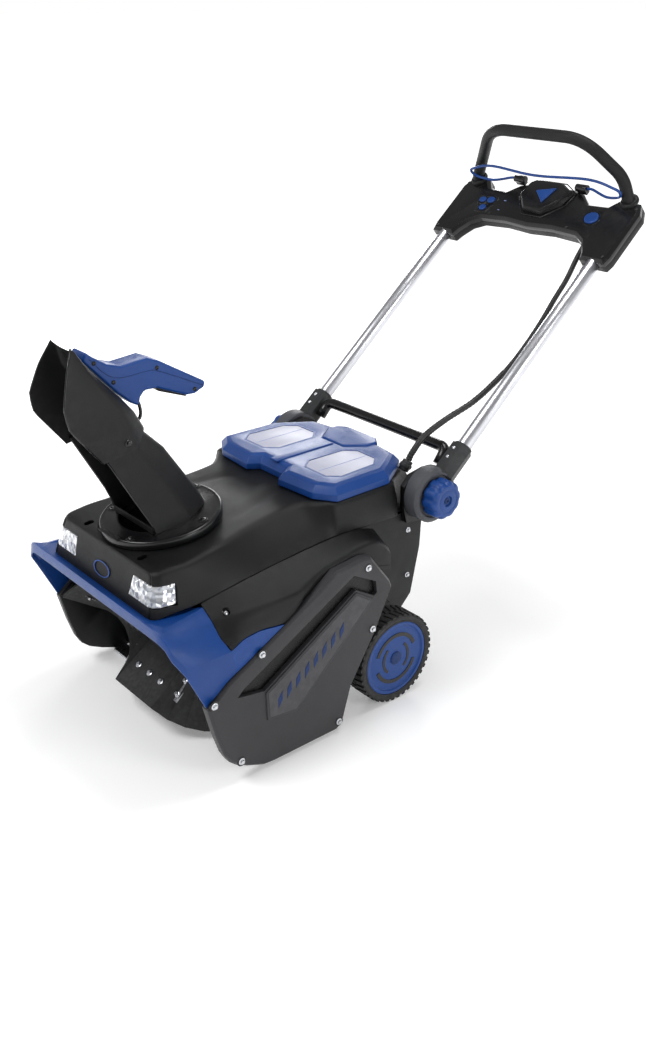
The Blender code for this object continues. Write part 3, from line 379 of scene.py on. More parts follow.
def rounded(node, look, width=0.0010, segments=2, angle=28.0, second=None, where=None):
    """A CAD node's own shape with its edges rounded.

    Faces for which where(centre) is true take the second look.
    """
    bm = bmesh.new()
    bm.from_mesh(NODES[node].data)
    bmesh.ops.remove_doubles(bm, verts=bm.verts, dist=0.00002)
    bmesh.ops.dissolve_limit(bm, angle_limit=math.radians(0.7), verts=bm.verts, edges=bm.edges)
    obj = new_object(node + "_finish", bm, Matrix.Identity(4), tidy=False)
    settle(obj, look, BODY_OF[node], (node,))
    for face in obj.data.polygons:
        face.material_index = int(bool(where and where(face.center)))
    if second:
        obj.data.materials.append(MATERIALS[second])
    return soften(obj, width, segments, angle)


def skin(name, rings, where=MACHINE, closed=False, capped=True, shell=False):
    """Skin equal rings of points in order."""
    bm = bmesh.new()
    rows = [[bm.verts.new(point) for point in ring] for ring in rings]
    count = len(rows[0])
    pairs = list(zip(rows, rows[1:]))
    if closed:
        pairs.append((rows[-1], rows[0]))
    for low, high in pairs:
        for i in range(count):
            j = (i + 1) % count
            bm.faces.new((low[i], low[j], high[j], high[i]))
    if capped and not closed:
        for row in (rows[0], rows[-1]):
            if shell:
                for i in range(count // 2 - 1):
                    bm.faces.new((row[i], row[i + 1], row[count - 2 - i], row[count - 1 - i]))
            else:
                bm.faces.new(row)
    return new_object(name, bm, where)


def add_band(bm, rows, closed=True):
    """Join rows of four corners into a bar, which closes on itself unless its ends are capped."""
    for low, high in zip(rows, rows[1:] + (rows[:1] if closed else [])):
        for a in range(4):
            b = (a + 1) % 4
            bm.faces.new((low[a], high[a], high[b], low[b]))
    if not closed:
        bm.faces.new(rows[0])
        bm.faces.new(rows[-1])


def on_axis(axis, along, a, b):
    return {"X": (along, a, b), "Y": (a, along, b), "Z": (a, b, along)}[axis]


def on_side(sign, profile):
    """A profile of (x, radius), on the left for sign 1 and on the right for sign -1."""
    return [(sign * x, radius) for x, radius in profile]


def prism(name, outline, axis, low, high, where=MACHINE):
    return skin(name, [[on_axis(axis, along, a, b) for a, b in outline] for along in (low, high)],
                where)


def circle(radius, steps, centre=(0.0, 0.0), start=0.0, sweep=math.tau):
    count = steps if abs(sweep - math.tau) < 1e-9 else steps + 1
    return [(centre[0] + radius * math.cos(start + sweep * k / steps),
             centre[1] + radius * math.sin(start + sweep * k / steps)) for k in range(count)]


def turned(name, profile, where, axis="X", centre=(0.0, 0.0), steps=48, wobble=None):
    """Turn a closed profile of (along, radius).

    wobble(angle, radius, along) may change a radius.
    """
    rings = []
    for k in range(steps):
        angle = math.tau * k / steps
        ring = []
        for along, radius in profile:
            reach = wobble(angle, radius, along) if wobble else radius
            ring.append(on_axis(axis, along, centre[0] + reach * math.cos(angle),
                                centre[1] + reach * math.sin(angle)))
        rings.append(ring)
    return skin(name, rings, where, closed=True)


def inset(outline, distance):
    """The outline drawn in by a distance, or out where the distance is negative."""
    area = sum(a[0] * b[1] - b[0] * a[1] for a, b in zip(outline, outline[1:] + outline[:1]))
    turn = 1.0 if area > 0 else -1.0
    moved = []
    for i, point in enumerate(outline):
        here = Vector(point)
        side_in = (here - Vector(outline[i - 1])).normalized()
        side_out = (Vector(outline[(i + 1) % len(outline)]) - here).normalized()
        normal_in = Vector((-side_in.y, side_in.x)) * turn
        normal_out = Vector((-side_out.y, side_out.x)) * turn
        bisector = (normal_in + normal_out).normalized()
        moved.append(tuple(here + bisector * (distance / max(0.3, bisector.dot(normal_in)))))
    return moved


def slab(name, outline, axis, levels, where=MACHINE):
    """A prism drawn in by the given inset at each level."""
    rings = [[on_axis(axis, along, a, b) for a, b in (inset(outline, by) if by else outline)]
             for along, by in levels]
    return skin(name, rings, where)


def route(knots, steps):
    """Catmull-Rom curve through points of any number of coordinates."""
    knots = [Vector(knot) for knot in knots]
    padded = [knots[0] * 2 - knots[1], *knots, knots[-1] * 2 - knots[-2]]
    points = []
    for a, b, c, d in zip(padded, padded[1:], padded[2:], padded[3:]):
        for k in range(steps):
            s = k / steps
            points.append(0.5 * (2 * b + (c - a) * s + (2 * a - 5 * b + 4 * c - d) * s ** 2
                                 + (3 * b - a - 3 * c + d) * s ** 3))
    points.append(knots[-1])
    return points


def curve(start, corner, end, shares):
    """Points at the given shares of the curve from start to end that rounds off a corner."""
    return [start * (1 - s) ** 2 + corner * 2 * s * (1 - s) + end * s ** 2 for s in shares]


def bent(corners, radius, steps=8):
    """A line through corners, each rounded off over a length of radius where there is room."""
    points = [Vector(corners[0])]
    for before, here, after in zip(corners, corners[1:], corners[2:]):
        here = Vector(here)
        back = Vector(before) - here
        ahead = Vector(after) - here
        reach = min(radius, back.length / 2.05, ahead.length / 2.05)
        start = here + back.normalized() * reach
        end = here + ahead.normalized() * reach
        points += curve(start, here, end, [k / steps for k in range(steps + 1)])
    points.append(Vector(corners[-1]))
    return points


def pipe(name, points, radius, where, sides=20, radius_at=None):
    """Sweep a round section along points; radius_at(distance) may change it on the way."""
    points = [Vector(point) for point in points]
    rings = []
    distance = 0.0
    side = None
    for i, point in enumerate(points):
        way = (points[min(i + 1, len(points) - 1)] - points[max(i - 1, 0)]).normalized()
        if side is None:
            side = way.orthogonal().normalized()
        side = (side - way * side.dot(way)).normalized()
        other = way.cross(side)
        if i:
            distance += (point - points[i - 1]).length
        reach = radius_at(distance) if radius_at else radius
        rings.append([point + side * (reach * math.cos(math.tau * k / sides))
                      + other * (reach * math.sin(math.tau * k / sides)) for k in range(sides)])
    return skin(name, rings, where)


def facing(centre, direction):
    """A frame at centre whose Z axis points along direction."""
    turn = Vector(direction).to_track_quat("Z", "Y").to_matrix().to_4x4()
    return Matrix.Translation(centre) @ turn


def add_turned(bm, profile, place, steps):
    rows = []
    for k in range(steps):
        angle = math.tau * k / steps
        rows.append([bm.verts.new(place @ Vector((r * math.cos(angle), r * math.sin(angle), z)))
                     for z, r in profile])
    for i, row in enumerate(rows):
        after = rows[(i + 1) % steps]
        for a in range(len(profile) - 1):
            bm.faces.new((row[a], after[a], after[a + 1], row[a + 1]))
    bm.faces.new([row[-1] for row in rows])
    bm.faces.new([row[0] for row in rows][::-1])


def fasteners(name, places, kind, body, look="zinc", where=MACHINE, size=1.0):
    """Flanged hexagon bolts or cross-head screws at (centre, direction) places, as one piece."""
    bm = bmesh.new()
    for centre, direction in places:
        place = facing(centre, direction)
        if kind == "bolt":
            add_turned(bm, [(0.0, 0.0062 * size), (0.0010 * size, 0.0062 * size),
                            (0.0016 * size, 0.0050 * size)], place, 28)
            add_turned(bm, [(0.0012 * size, 0.0042 * size), (0.0042 * size, 0.0042 * size),
                            (0.0049 * size, 0.0035 * size)], place, 6)
        else:
            add_turned(bm, [(-0.0006, 0.0036 * size), (0.0008 * size, 0.0036 * size),
                            (0.0016 * size, 0.0028 * size), (0.0020 * size, 0.0014 * size),
                            (0.0012 * size, 0.0010 * size)], place, 20)
    return crisp(settle(new_object(name, bm, where), look, body), 40)


def strip_piece(name, blocks, look, body, where=MACHINE, width=0.0004):
    """Many small blocks as one piece. Each is (outline, axis, low, high)."""
    bm = bmesh.new()
    for outline, axis, low, high in blocks:
        first = [bm.verts.new(on_axis(axis, low, a, b)) for a, b in outline]
        last = [bm.verts.new(on_axis(axis, high, a, b)) for a, b in outline]
        count = len(outline)
        for i in range(count):
            j = (i + 1) % count
            bm.faces.new((first[i], first[j], last[j], last[i]))
        bm.faces.new(first[::-1])
        bm.faces.new(last)
    return soften(settle(new_object(name, bm, where), look, body), width, 2, 40)


# ---------------------------------------------------------------- cable conduit

CONDUIT_RADIUS = 0.0062
CONDUIT_ROUTE = [
    (0.133, 0.343, 0.398), (0.135, 0.351, 0.412), (0.139, 0.375, 0.437), (0.145, 0.420, 0.459),
    (0.151, 0.487, 0.481), (0.155, 0.544, 0.511), (0.157, 0.588, 0.541), (0.157, 0.627, 0.573),
    (0.156, 0.662, 0.605), (0.154, 0.696, 0.639), (0.152, 0.730, 0.671), (0.150, 0.758, 0.706),
    (0.149, 0.778, 0.728),
]
SLEEVE_END = 0.26               # the ribbed sleeve's length from the gland


def make_conduit():
    """Ribbed sleeve from the gland to above the crossbar, then a smooth jacket."""
    points = route(CONDUIT_ROUTE, 22)

    def rib(distance):
        if distance > SLEEVE_END:
            return CONDUIT_RADIUS - 0.0012
        return CONDUIT_RADIUS - 0.0009 * (0.5 + 0.5 * math.cos(math.tau * distance / 0.0052))

    obj = pipe("conduit", points, CONDUIT_RADIUS, MACHINE, 20, rib)
    obj.data.materials.append(MATERIALS["hose"])
    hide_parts("cable_conduit")
    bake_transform(obj)


make_conduit()

# ---------------------------------------------------------------- top cover

# y at the foot, y at the deck, wall x, wall z, deck x, deck z, z of the middle
COVER = [
    (-0.2180, -0.2010, 0.1480, 0.287, 0.1350, 0.3540, 0.354),
    (-0.2150, -0.1980, 0.1540, 0.287, 0.1405, 0.3545, 0.3545),
    (-0.2060, -0.1880, 0.1600, 0.288, 0.1470, 0.3570, 0.356),
    (-0.1800, -0.1690, 0.1655, 0.292, 0.1500, 0.3585, 0.358),
    (-0.1380, -0.1380, 0.1720, 0.297, 0.1520, 0.3600, 0.361),
    (-0.0700, -0.0700, 0.1790, 0.312, 0.1400, 0.3660, 0.369),
    (-0.0060, -0.0060, 0.1800, 0.320, 0.1260, 0.3710, 0.377),
    (0.0500, 0.0500, 0.1800, 0.326, 0.1210, 0.3750, 0.379),
    (0.1000, 0.1000, 0.1800, 0.330, 0.1240, 0.3800, 0.383),
    (0.1300, 0.1300, 0.1800, 0.331, 0.1560, 0.3830, 0.3835),
    (0.1500, 0.1500, 0.1800, 0.331, 0.1720, 0.3840, 0.384),
    (0.2650, 0.2650, 0.1795, 0.325, 0.1700, 0.3840, 0.384),
    (0.2900, 0.2900, 0.1650, 0.322, 0.1520, 0.3840, 0.384),
    (0.3520, 0.3480, 0.1600, 0.3185, 0.1100, 0.3820, 0.383),
]
DECK_POINTS = 12


def deck_dip(x, y):
    """Two shallow channels that run from beside the lid's notch to the chute ring."""
    if not -0.02 < y < 0.135:
        return 0.0
    along = (y + 0.02) / 0.155
    line = 0.086 - 0.040 * along
    across = (abs(x) - line) / 0.011
    fade = math.sin(math.pi * min(1.0, along * 1.05)) ** 0.7 if along < 0.95 else 0.0
    return -0.0035 * fade * math.exp(-across * across)


def cover_section(low_y, high_y, wall_x, wall_z, deck_x, deck_z, middle_z, by=0.0):
    """One closed ring: up the wall, round the deck's edge, over the deck and down again."""
    foot = Vector((wall_x - by, low_y, wall_z))
    edge = Vector((deck_x - by, high_y, deck_z - by))
    crown = Vector((0.0, high_y, middle_z - by))
    rise = edge - foot
    turn = 0.010
    before = edge - rise.normalized() * min(turn, rise.length * 0.3)
    after = edge + (crown - edge).normalized() * turn
    side = [foot]
    for s in (0.3, 0.6):
        bulge = 0.0022 * math.sin(math.pi * s)
        side.append(foot.lerp(before, s) + Vector((bulge, 0.0, 0.0)))
    side += curve(before, edge, after, [k / 6 for k in range(7)])
    for k in range(1, DECK_POINTS):
        s = k / DECK_POINTS
        x = after.x * (1 - s)
        z = after.z + (middle_z - by - after.z) * (1 - (1 - s) ** 2)
        side.append(Vector((x, high_y, z + deck_dip(x, high_y))))
    mirror = [Vector((-p.x, p.y, p.z)) for p in side[::-1]]
    return side + [Vector((0.0, high_y, middle_z - by))] + mirror


def lamp_outline(z, gap, stand):
    rise = (z - 0.287) / 0.067
    front_y = -0.2180 + 0.017 * rise
    corner_y = -0.2060 + 0.018 * rise
    corner_x = 0.150 - 0.014 * rise
    side_x = 0.160 - 0.013 * rise
    inner_x = 0.0835 + 0.009 * rise - gap
    rear_y = corner_y + 0.030 - 0.010 * rise + gap
    back_y = -0.190 + gap
    return [(inner_x, front_y - stand), (corner_x - 0.005 + stand * 0.6, front_y - stand),
            (corner_x + 0.004 + stand * 0.8, front_y + 0.0035 - stand * 0.8),
            (side_x + stand, corner_y - stand * 0.4), (side_x + 0.0040 + stand, rear_y),
            (0.125, rear_y), (0.125, back_y), (inner_x, back_y)]


def make_cover():
    dense = route(COVER, 5)
    sections = [cover_section(*dense[0], by=0.0060)]
    first = list(dense[0])
    for step, by in ((0.0010, 0.0026), (0.0028, 0.0008)):
        shifted = [first[0] + step, first[1] + step, *first[2:]]
        sections.append(cover_section(*shifted, by=by))
    for values in dense[3:]:
        sections.append(cover_section(*values))
    cover = skin("top_cover_shell", sections)
    tools = [prism("ring_well", circle(0.1062, 72), "Z", -0.0084, 0.05, CHUTE),
             prism("chute_bore", circle(0.0725, 48), "Z", -0.09, 0.02, CHUTE),
             prism("battery_bay", [(-0.146, 0.152), (0.146, 0.152), (0.146, 0.292),
                                   (-0.146, 0.292)], "Z", 0.28, 0.40)]
    for side, sign in SIDES:
        block = [[(sign * x, y, z) for x, y in lamp_outline(z, 0.0006, 0.012)]
                 for z in (0.3030, 0.3365)]
        tools.append(skin("lamp_well_" + side, block))
        for centre in ((sign * 0.084, -0.187), (sign * 0.084, -0.181)):
            tools.append(prism("screw_well", circle(0.0060, 24, centre), "Z", 0.345, 0.37))
    carve(cover, *tools)
    crisp(cover, 38)
    settle(cover, "black", "machine", ("top_cover",))
    for side, sign in SIDES:
        block = [[(sign * x, y, z) for x, y in lamp_outline(z, 0.0, 0.0003)]
                 for z in (0.3036, 0.3200, 0.3359)]
        lens = skin("headlight_lens_" + side, block)
        settle(lens, "lamp", "machine", ("headlight_" + side,))
        soften(lens, 0.0012, 3, 40)


make_cover()


NOSE_RING = (0.0250, 0.0125)    # half width, half height


def make_emblem():
    """A plain oval ring on the nose, between the lamps."""
    bm = bmesh.new()
    lean = math.atan2(0.017, 0.067)
    place = Matrix.Translation((0.0, -0.2118, 0.3130)) @ Matrix.Rotation(-lean, 4, "X")
    steps = 48
    rows = []
    for k in range(steps):
        angle = math.tau * k / steps
        row = []
        for share, y in ((1.0, 0.0), (1.0, -0.0007), (0.87, -0.0007), (0.87, 0.0)):
            row.append(bm.verts.new(place @ Vector((NOSE_RING[0] * share * math.cos(angle), y,
                                                    NOSE_RING[1] * share * math.sin(angle)))))
        rows.append(row)
    add_band(bm, rows)
    crisp(settle(new_object("nose_ring", bm), "blue", "machine"), 40)


make_emblem()

# ---------------------------------------------------------------- skirts

# crease, ridge, below the ridge, foot; each x, y, z
SKIRT = [
    ((0.1745, -0.1385, 0.2966), (0.2035, -0.1385, 0.2806), (0.2256, -0.1375, 0.2586),
     (0.2414, -0.1285, 0.2404)),
    ((0.1770, -0.1050, 0.3040), (0.2200, -0.1050, 0.2852), (0.2385, -0.1050, 0.2660),
     (0.2413, -0.1050, 0.2522)),
    ((0.1812, -0.0700, 0.3116), (0.2300, -0.0700, 0.2878), (0.2405, -0.0700, 0.2700),
     (0.2413, -0.0700, 0.2556)),
    ((0.1812, -0.0270, 0.3170), (0.2365, -0.0270, 0.2890), (0.2410, -0.0270, 0.2740),
     (0.2410, -0.0270, 0.2512)),
    ((0.1812, 0.0040, 0.3205), (0.2370, 0.0040, 0.2900), (0.2400, 0.0040, 0.2790),
     (0.2395, 0.0040, 0.2680)),
    ((0.1812, 0.0260, 0.3225), (0.2320, 0.0260, 0.2950), (0.2350, 0.0260, 0.2880),
     (0.2345, 0.0260, 0.2800)),
    ((0.1812, 0.0640, 0.3260), (0.2255, 0.0640, 0.3060), (0.2276, 0.0640, 0.2990),
     (0.2276, 0.0640, 0.2700)),
    ((0.1812, 0.1100, 0.3290), (0.2250, 0.1100, 0.3160), (0.2276, 0.1100, 0.3100),
     (0.2276, 0.1100, 0.2650)),
    ((0.1812, 0.1500, 0.3305), (0.2240, 0.1500, 0.3240), (0.2276, 0.1500, 0.3180),
     (0.2276, 0.1500, 0.2450)),
    ((0.1812, 0.1800, 0.3285), (0.2235, 0.1800, 0.3240), (0.2276, 0.1800, 0.3180),
     (0.2276, 0.1800, 0.2300)),
    ((0.1812, 0.2000, 0.3240), (0.2235, 0.2000, 0.3120), (0.2276, 0.2000, 0.3040),
     (0.2276, 0.2000, 0.2100)),
    ((0.1812, 0.2150, 0.3190), (0.2235, 0.2150, 0.2960), (0.2276, 0.2150, 0.2880),
     (0.2276, 0.2150, 0.1950)),
]
# y, top, foot and outer edge of the flange that tucks behind the side plate
SKIRT_WEB = [
    (-0.1300, 0.2500, 0.2420, 0.2380), (-0.1050, 0.2600, 0.2390, 0.2380),
    (-0.0700, 0.2640, 0.2350, 0.2382), (-0.0270, 0.2640, 0.2380, 0.2382),
    (0.0040, 0.2760, 0.2400, 0.2372), (0.0260, 0.2860, 0.2500, 0.2325),
    (0.0520, 0.2920, 0.2580, 0.2278),
]


def make_skirts():
    flat = [[value for point in row for value in point] for row in SKIRT]
    dense = route(flat, 4)
    for side, sign in SIDES:
        rings = []
        for row in dense:
            crease, ridge, below, foot = (Vector(row[i:i + 3]) for i in (0, 3, 6, 9))
            start = ridge + (crease - ridge).normalized() * 0.006
            end = ridge + (below - ridge).normalized() * min(0.006, (below - ridge).length * 0.7)
            outer = [crease, crease.lerp(start, 0.5), start]
            outer += curve(start, ridge, end, (0.3, 0.6))
            outer += [end, below, below.lerp(foot, 0.5), foot]
            inner = [point - Vector((0.0026 if point.x > 0.2 else 0.0006, 0.0, 0.0012))
                     for point in outer[::-1]]
            inner[-1] = crease - Vector((0.0, 0.0, 0.0030))
            rings.append([(sign * p.x, p.y, p.z) for p in outer + inner])
        skirt = skin("side_skirt_shell_" + side, rings, shell=True)
        way = Vector((sign * 0.62, 0.0, 0.785)).normalized()
        spot = Vector((sign * 0.2085, -0.1135, 0.2880))
        well = turned("screw_pocket", [(-0.004, 0.0001), (-0.004, 0.0052), (0.02, 0.0068),
                                       (0.02, 0.0001)], MACHINE @ facing(spot, way), "Z",
                      steps=24)
        carve(skirt, well)
        crisp(skirt, 40)
        settle(skirt, "black", "machine", ("side_skirt_" + side,))
        cup = turned("screw_cup_" + side, [(-0.0052, 0.0001), (-0.0052, 0.0060), (0.0004, 0.0078),
                                           (0.0010, 0.0072), (-0.0040, 0.0050),
                                           (-0.0040, 0.0001)], MACHINE @ facing(spot, way), "Z",
                     steps=28)
        crisp(settle(cup, "gloss", "machine"), 40)
        fasteners("skirt_screw_" + side, [(spot - way * 0.0038, way)], "screw", "machine",
                  size=1.1)
        web = []
        for y, top, foot, reach in SKIRT_WEB:
            web.append([(sign * x, y, z) for x, z in
                        ((reach, top), (0.2250, top), (0.2250, foot), (0.2276, foot),
                         (0.2276, top - 0.0026), (reach, top - 0.0026))])
        settle(skin("skirt_web_" + side, web), "black", "machine")
        # dark patches where the vent slots are: painted shade standing in for the slots' depth
        vent_shade_patches = []
        for k in range(3):
            z = 0.268 - 0.022 * k
            outline = [(z, 0.186 + 0.004 * k), (z + 0.007, 0.182 + 0.004 * k),
                       (z + 0.001, 0.212), (z - 0.006, 0.212)]
            vent_shade_patches.append(([(b, a) for a, b in outline], "X", sign * 0.2274, sign * 0.2282))
        strip_piece("vent_shade_patches_" + side, vent_shade_patches, "painted_shade", "machine")


make_skirts()

# ---------------------------------------------------------------- hood, plates and housing

PLATE_POCKET = [
    (-0.125, 0.156), (-0.113, 0.167), (0.115, 0.288), (0.163, 0.262), (0.166, 0.240),
    (0.1595, 0.236), (0.119, 0.2605), (-0.0725, 0.147),
]
PLAQUE = [(-0.070, 0.092), (-0.072, 0.144), (0.118, 0.257), (0.156, 0.232), (0.095, 0.177),
          (-0.010, 0.085)]
PLATE_BOLTS = [(-0.169, 0.160), (-0.076, 0.215), (0.146, 0.292), (0.157, 0.173), (0.082, 0.021),
               (-0.122, 0.037)]


# Near-black sheets paint the shade in the pockets; the right one stands further out than the CAD's
# pocket floor, to cover the auger pulley.
POCKET_FLOOR = {"left": 0.2390, "right": 0.2448}
PLAQUE_BARS = 8
PLATE_FACE = 0.2469


def make_plates():
    rounded("front_hood", "blue", 0.0008, 2, 35)
    for side, sign in SIDES:
        node = "side_plate_left" if sign > 0 else "drive_cover_right"
        rounded(node, "plate", 0.0014, 3, 28)
        floor = POCKET_FLOOR[side]
        # a near-black sheet just off the pocket floor: painted shade in the pocket
        shade_sheet = slab("pocket_shade_sheet_" + side, inset(PLATE_POCKET, 0.0002), "X",
                      [(sign * (floor - 0.0005), 0.0), (sign * (floor + 0.0004), 0.0),
                       (sign * (floor + 0.0005), 0.0006)])
        settle(shade_sheet, "painted_shade", "machine")
        face = slab("plaque_face_" + side, inset(PLAQUE, 0.0045), "X",
                    [(sign * 0.2495, 0.0), (sign * 0.2502, 0.0), (sign * 0.2505, 0.0004)])
        crisp(settle(face, "plaque", "machine"))
        bars = []
        along = Vector((0.190, 0.113)).normalized()
        up = Vector((0.0, 0.0120))
        for k in range(PLAQUE_BARS):
            centre = Vector((-0.0445, 0.1215)) + along * (0.0215 * k)
            half = along * 0.0050
            outline = [tuple(centre - half - up), tuple(centre + half - up * 0.4),
                       tuple(centre + half + up), tuple(centre - half + up * 0.4)]
            bars.append((outline, "X", sign * 0.2504, sign * 0.2511))
        strip_piece("plaque_bars_" + side, bars, "deep", "machine", width=0.0003)
        places = [((sign * PLATE_FACE, y, z), (sign, 0, 0)) for y, z in PLATE_BOLTS]
        fasteners("plate_bolts_" + side, places, "bolt", "machine", size=0.95)
        seats = bmesh.new()
        for y, z in PLATE_BOLTS:
            add_turned(seats, [(-0.001, 0.0088), (0.0003, 0.0088), (0.0007, 0.0080)],
                       facing((sign * (PLATE_FACE - 0.0001), y, z), (sign, 0, 0)), 28)
        crisp(settle(new_object("bolt_seats_" + side, seats), "gloss", "machine"))


make_plates()

for node, look, width in (
        ("rear_housing", "black", 0.0015), ("auger_housing", "black", 0.0006),
        ("scraper_bar", "zinc", 0.0005), ("side_plate_right", "black", 0.0008),
        ("handle_bracket_left", "black", 0.0015), ("handle_bracket_right", "black", 0.0015),
        ("auger_flight_left", "rubber", 0.0008), ("auger_flight_right", "rubber", 0.0008),
        ("auger_centre_paddle", "rubber", 0.0008), ("conduit_gland", "socket", 0.0010),
        ("console_base", "black", 0.0020), ("battery_left", "black", 0.0015),
        ("battery_right", "black", 0.0015), ("battery_tray", "black", 0.0006),
        ("chute_trigger", "black", 0.0010), ("controller_box", "zinc", 0.0008)):
    rounded(node, look, width)

# ---------------------------------------------------------------- auger steel


BLADE_START = math.radians(35)
BLADE_TWIST = math.radians(120)


def make_auger_steel():
    """Bolted steel carriers on both faces of each rubber blade."""
    places = []
    bm = bmesh.new()
    for _, sign in SIDES:
        for fraction in (0.10, 0.50, 0.90):
            x = sign * (0.058 + 0.158 * fraction)
            angle = BLADE_START + BLADE_TWIST * fraction
            along = Vector((0.0, math.cos(angle), math.sin(angle)))
            across = Vector((0.0, -along.z, along.y))
            for end in (1, -1):
                for face in (1, -1):
                    centre = Vector((x, 0, 0)) + along * (0.045 * end) + across * (0.0044 * face)
                    place = Matrix((Vector((1, 0, 0)), along, across)).transposed().to_4x4()
                    place.translation = centre
                    box_verts = [bm.verts.new(place @ Vector((a, b * end, c)))
                                 for c in (-0.0006, 0.0006)
                                 for a, b in ((-0.014, -0.030), (0.014, -0.030),
                                              (0.010, 0.026), (-0.010, 0.026))]
                    for quad in ((0, 1, 2, 3), (4, 5, 6, 7), (0, 1, 5, 4), (1, 2, 6, 5),
                                 (2, 3, 7, 6), (3, 0, 4, 7)):
                        bm.faces.new([box_verts[i] for i in quad])
                    for b in (-0.012, 0.014):
                        places.append((centre + along * (b * end) + across * (0.0006 * face),
                                       tuple(across * face)))
    along = Vector((0.0, math.cos(BLADE_START), math.sin(BLADE_START)))
    across = Vector((0.0, -along.z, along.y))
    for end in (1, -1):
        for x in (-0.035, 0.0, 0.035):
            for face in (1, -1):
                places.append((Vector((x, 0, 0)) + along * (0.060 * end)
                               + across * (0.0036 * face), tuple(across * face)))
    soften(settle(new_object("auger_carriers", bm, AUGER), "zinc", "auger"), 0.0004)
    fasteners("auger_bolts", places, "bolt", "auger", where=AUGER, size=0.9)


make_auger_steel()

# ---------------------------------------------------------------- chute

# front y, z; crease y, z; back y, z; half width; half width of the back
CHUTE_ROWS = [
    (-0.0500, 0.0080, 0.0200, 0.0080, 0.0700, 0.0080, 0.0635, 0.0330),
    (-0.0520, 0.0260, 0.0110, 0.0260, 0.0630, 0.0260, 0.0600, 0.0320),
    (-0.0640, 0.0600, -0.0010, 0.0600, 0.0470, 0.0600, 0.0530, 0.0310),
    (-0.1040, 0.1620, -0.0460, 0.1500, 0.0135, 0.1287, 0.0520, 0.0300),
    (-0.1060, 0.1680, -0.0600, 0.1720, -0.0252, 0.1801, 0.0515, 0.0300),
]
DEFLECTOR_ROWS = [
    (-0.2250, 0.5170, -0.1630, 0.5260, -0.1385, 0.5525, 0.0585, 0.0400),
    (-0.2760, 0.5830, -0.1720, 0.5660, -0.1530, 0.5795, 0.0585, 0.0400),
    (-0.2810, 0.6140, -0.1900, 0.6020, -0.1730, 0.6045, 0.0560, 0.0390),
    (-0.2670, 0.6600, -0.2260, 0.6560, -0.2180, 0.6530, 0.0450, 0.0330),
    (-0.2500, 0.6970, -0.2430, 0.6900, -0.2380, 0.6850, 0.0310, 0.0240),
]


def trough(name, rows, where, wall):
    """A channel open at the front, through the given rows, with its creases rounded."""
    rings = []
    for row in route(rows, 1):
        front_y, front_z, crease_y, crease_z, back_y, back_z, half, back_half = row
        front = Vector((half, front_y, front_z))
        crease = Vector((half, crease_y, crease_z))
        back = Vector((back_half, back_y, back_z))
        turn = min(0.012, (front - crease).length * 0.4, (back - crease).length * 0.4)
        before = crease + (front - crease).normalized() * turn
        after = crease + (back - crease).normalized() * turn
        soft = min(0.010, back_half * 0.4, (back - crease).length * 0.4)
        into = back + (crease - back).normalized() * soft
        out = Vector((back_half - soft, back_y, back_z))
        side = [front, front.lerp(before, 0.5)]
        side += [before * (1 - k) ** 2 + crease * 2 * k * (1 - k) + after * k * k
                 for k in (0.0, 0.25, 0.5, 0.75, 1.0)]
        side += [into * (1 - k) ** 2 + back * 2 * k * (1 - k) + out * k * k
                 for k in (0.0, 0.25, 0.5, 0.75, 1.0)]
        outer = side + [Vector((-p.x, p.y, p.z)) for p in side[::-1]]
        middle_at = Vector((0.0, (front_y * 2 + back_y) / 3, (front_z * 2 + back_z) / 3))
        inner = []
        for i, p in enumerate(outer):
            inward = (middle_at - p).normalized()
            if i in (0, len(outer) - 1):
                inward = Vector((math.copysign(1.0, -p.x), 0.0, 0.0))
            inner.append(p + inward * wall)
        rings.append([tuple(p) for p in outer + inner[::-1]])
    return crisp(skin(name, rings, where, shell=True), 24)


RING_SCREWS = [(0.040, -0.082), (-0.025, 0.0880), (-0.073, -0.050), (0.082, 0.030)]
GRIP_SCREWS = [(-0.208, 0.6640), (-0.177, 0.6275), (-0.099, 0.6350), (-0.0305, 0.5850)]


def make_ring():
    profile = [(-0.0077, 0.0701), (-0.0077, 0.1012), (-0.0066, 0.1023), (-0.0020, 0.1027),
               (0.0036, 0.1026), (0.0060, 0.1016), (0.0073, 0.0998), (0.0076, 0.0975),
               (0.0068, 0.0960), (0.0070, 0.0940), (0.0070, 0.0760), (0.0075, 0.0745),
               (0.0074, 0.0701)]
    ring = crisp(turned("ring_body", profile, CHUTE, "Z", steps=112), 50)
    settle(ring, "gloss", "chute", ("chute_flange",))


def make_shells():
    body = trough("chute_body_shell", CHUTE_ROWS, CHUTE, 0.0032)
    settle(body, "black", "chute", ("chute_body",))
    apron = slab("chute_apron", [(-0.0600, -0.0525), (0.0600, -0.0525), (0.0600, -0.0500),
                                 (-0.0600, -0.0500)], "Z", [(0.0080, 0.0), (0.0200, 0.0)], CHUTE)
    soften(settle(apron, "black", "chute"), 0.0008)
    cowl = trough("deflector_shell", DEFLECTOR_ROWS, MACHINE, 0.0030)
    settle(cowl, "black", "deflector", ("deflector",))
    rounded("chute_handle", "blue", 0.0022, 3, 30)


def make_ring_details():
    places = [((x, y, 0.0072), (0, 0, 1)) for x, y in RING_SCREWS]
    fasteners("ring_screws", places, "screw", "chute", "gloss", CHUTE, 1.3)
    lugs = bmesh.new()
    for x, y in RING_SCREWS:
        add_turned(lugs, [(-0.001, 0.0080), (0.0004, 0.0080), (0.0010, 0.0072)],
                   Matrix.Translation((x, y, 0.0070)), 28)
    crisp(settle(new_object("ring_screw_bosses", lugs, CHUTE), "black", "chute"))
    tab = [([(-0.030, -0.1020), (0.030, -0.1020), (0.026, -0.0925), (-0.026, -0.0925)],
            "Z", 0.0062, 0.0080)]
    strip_piece("ring_tab", tab, "black", "chute", CHUTE)


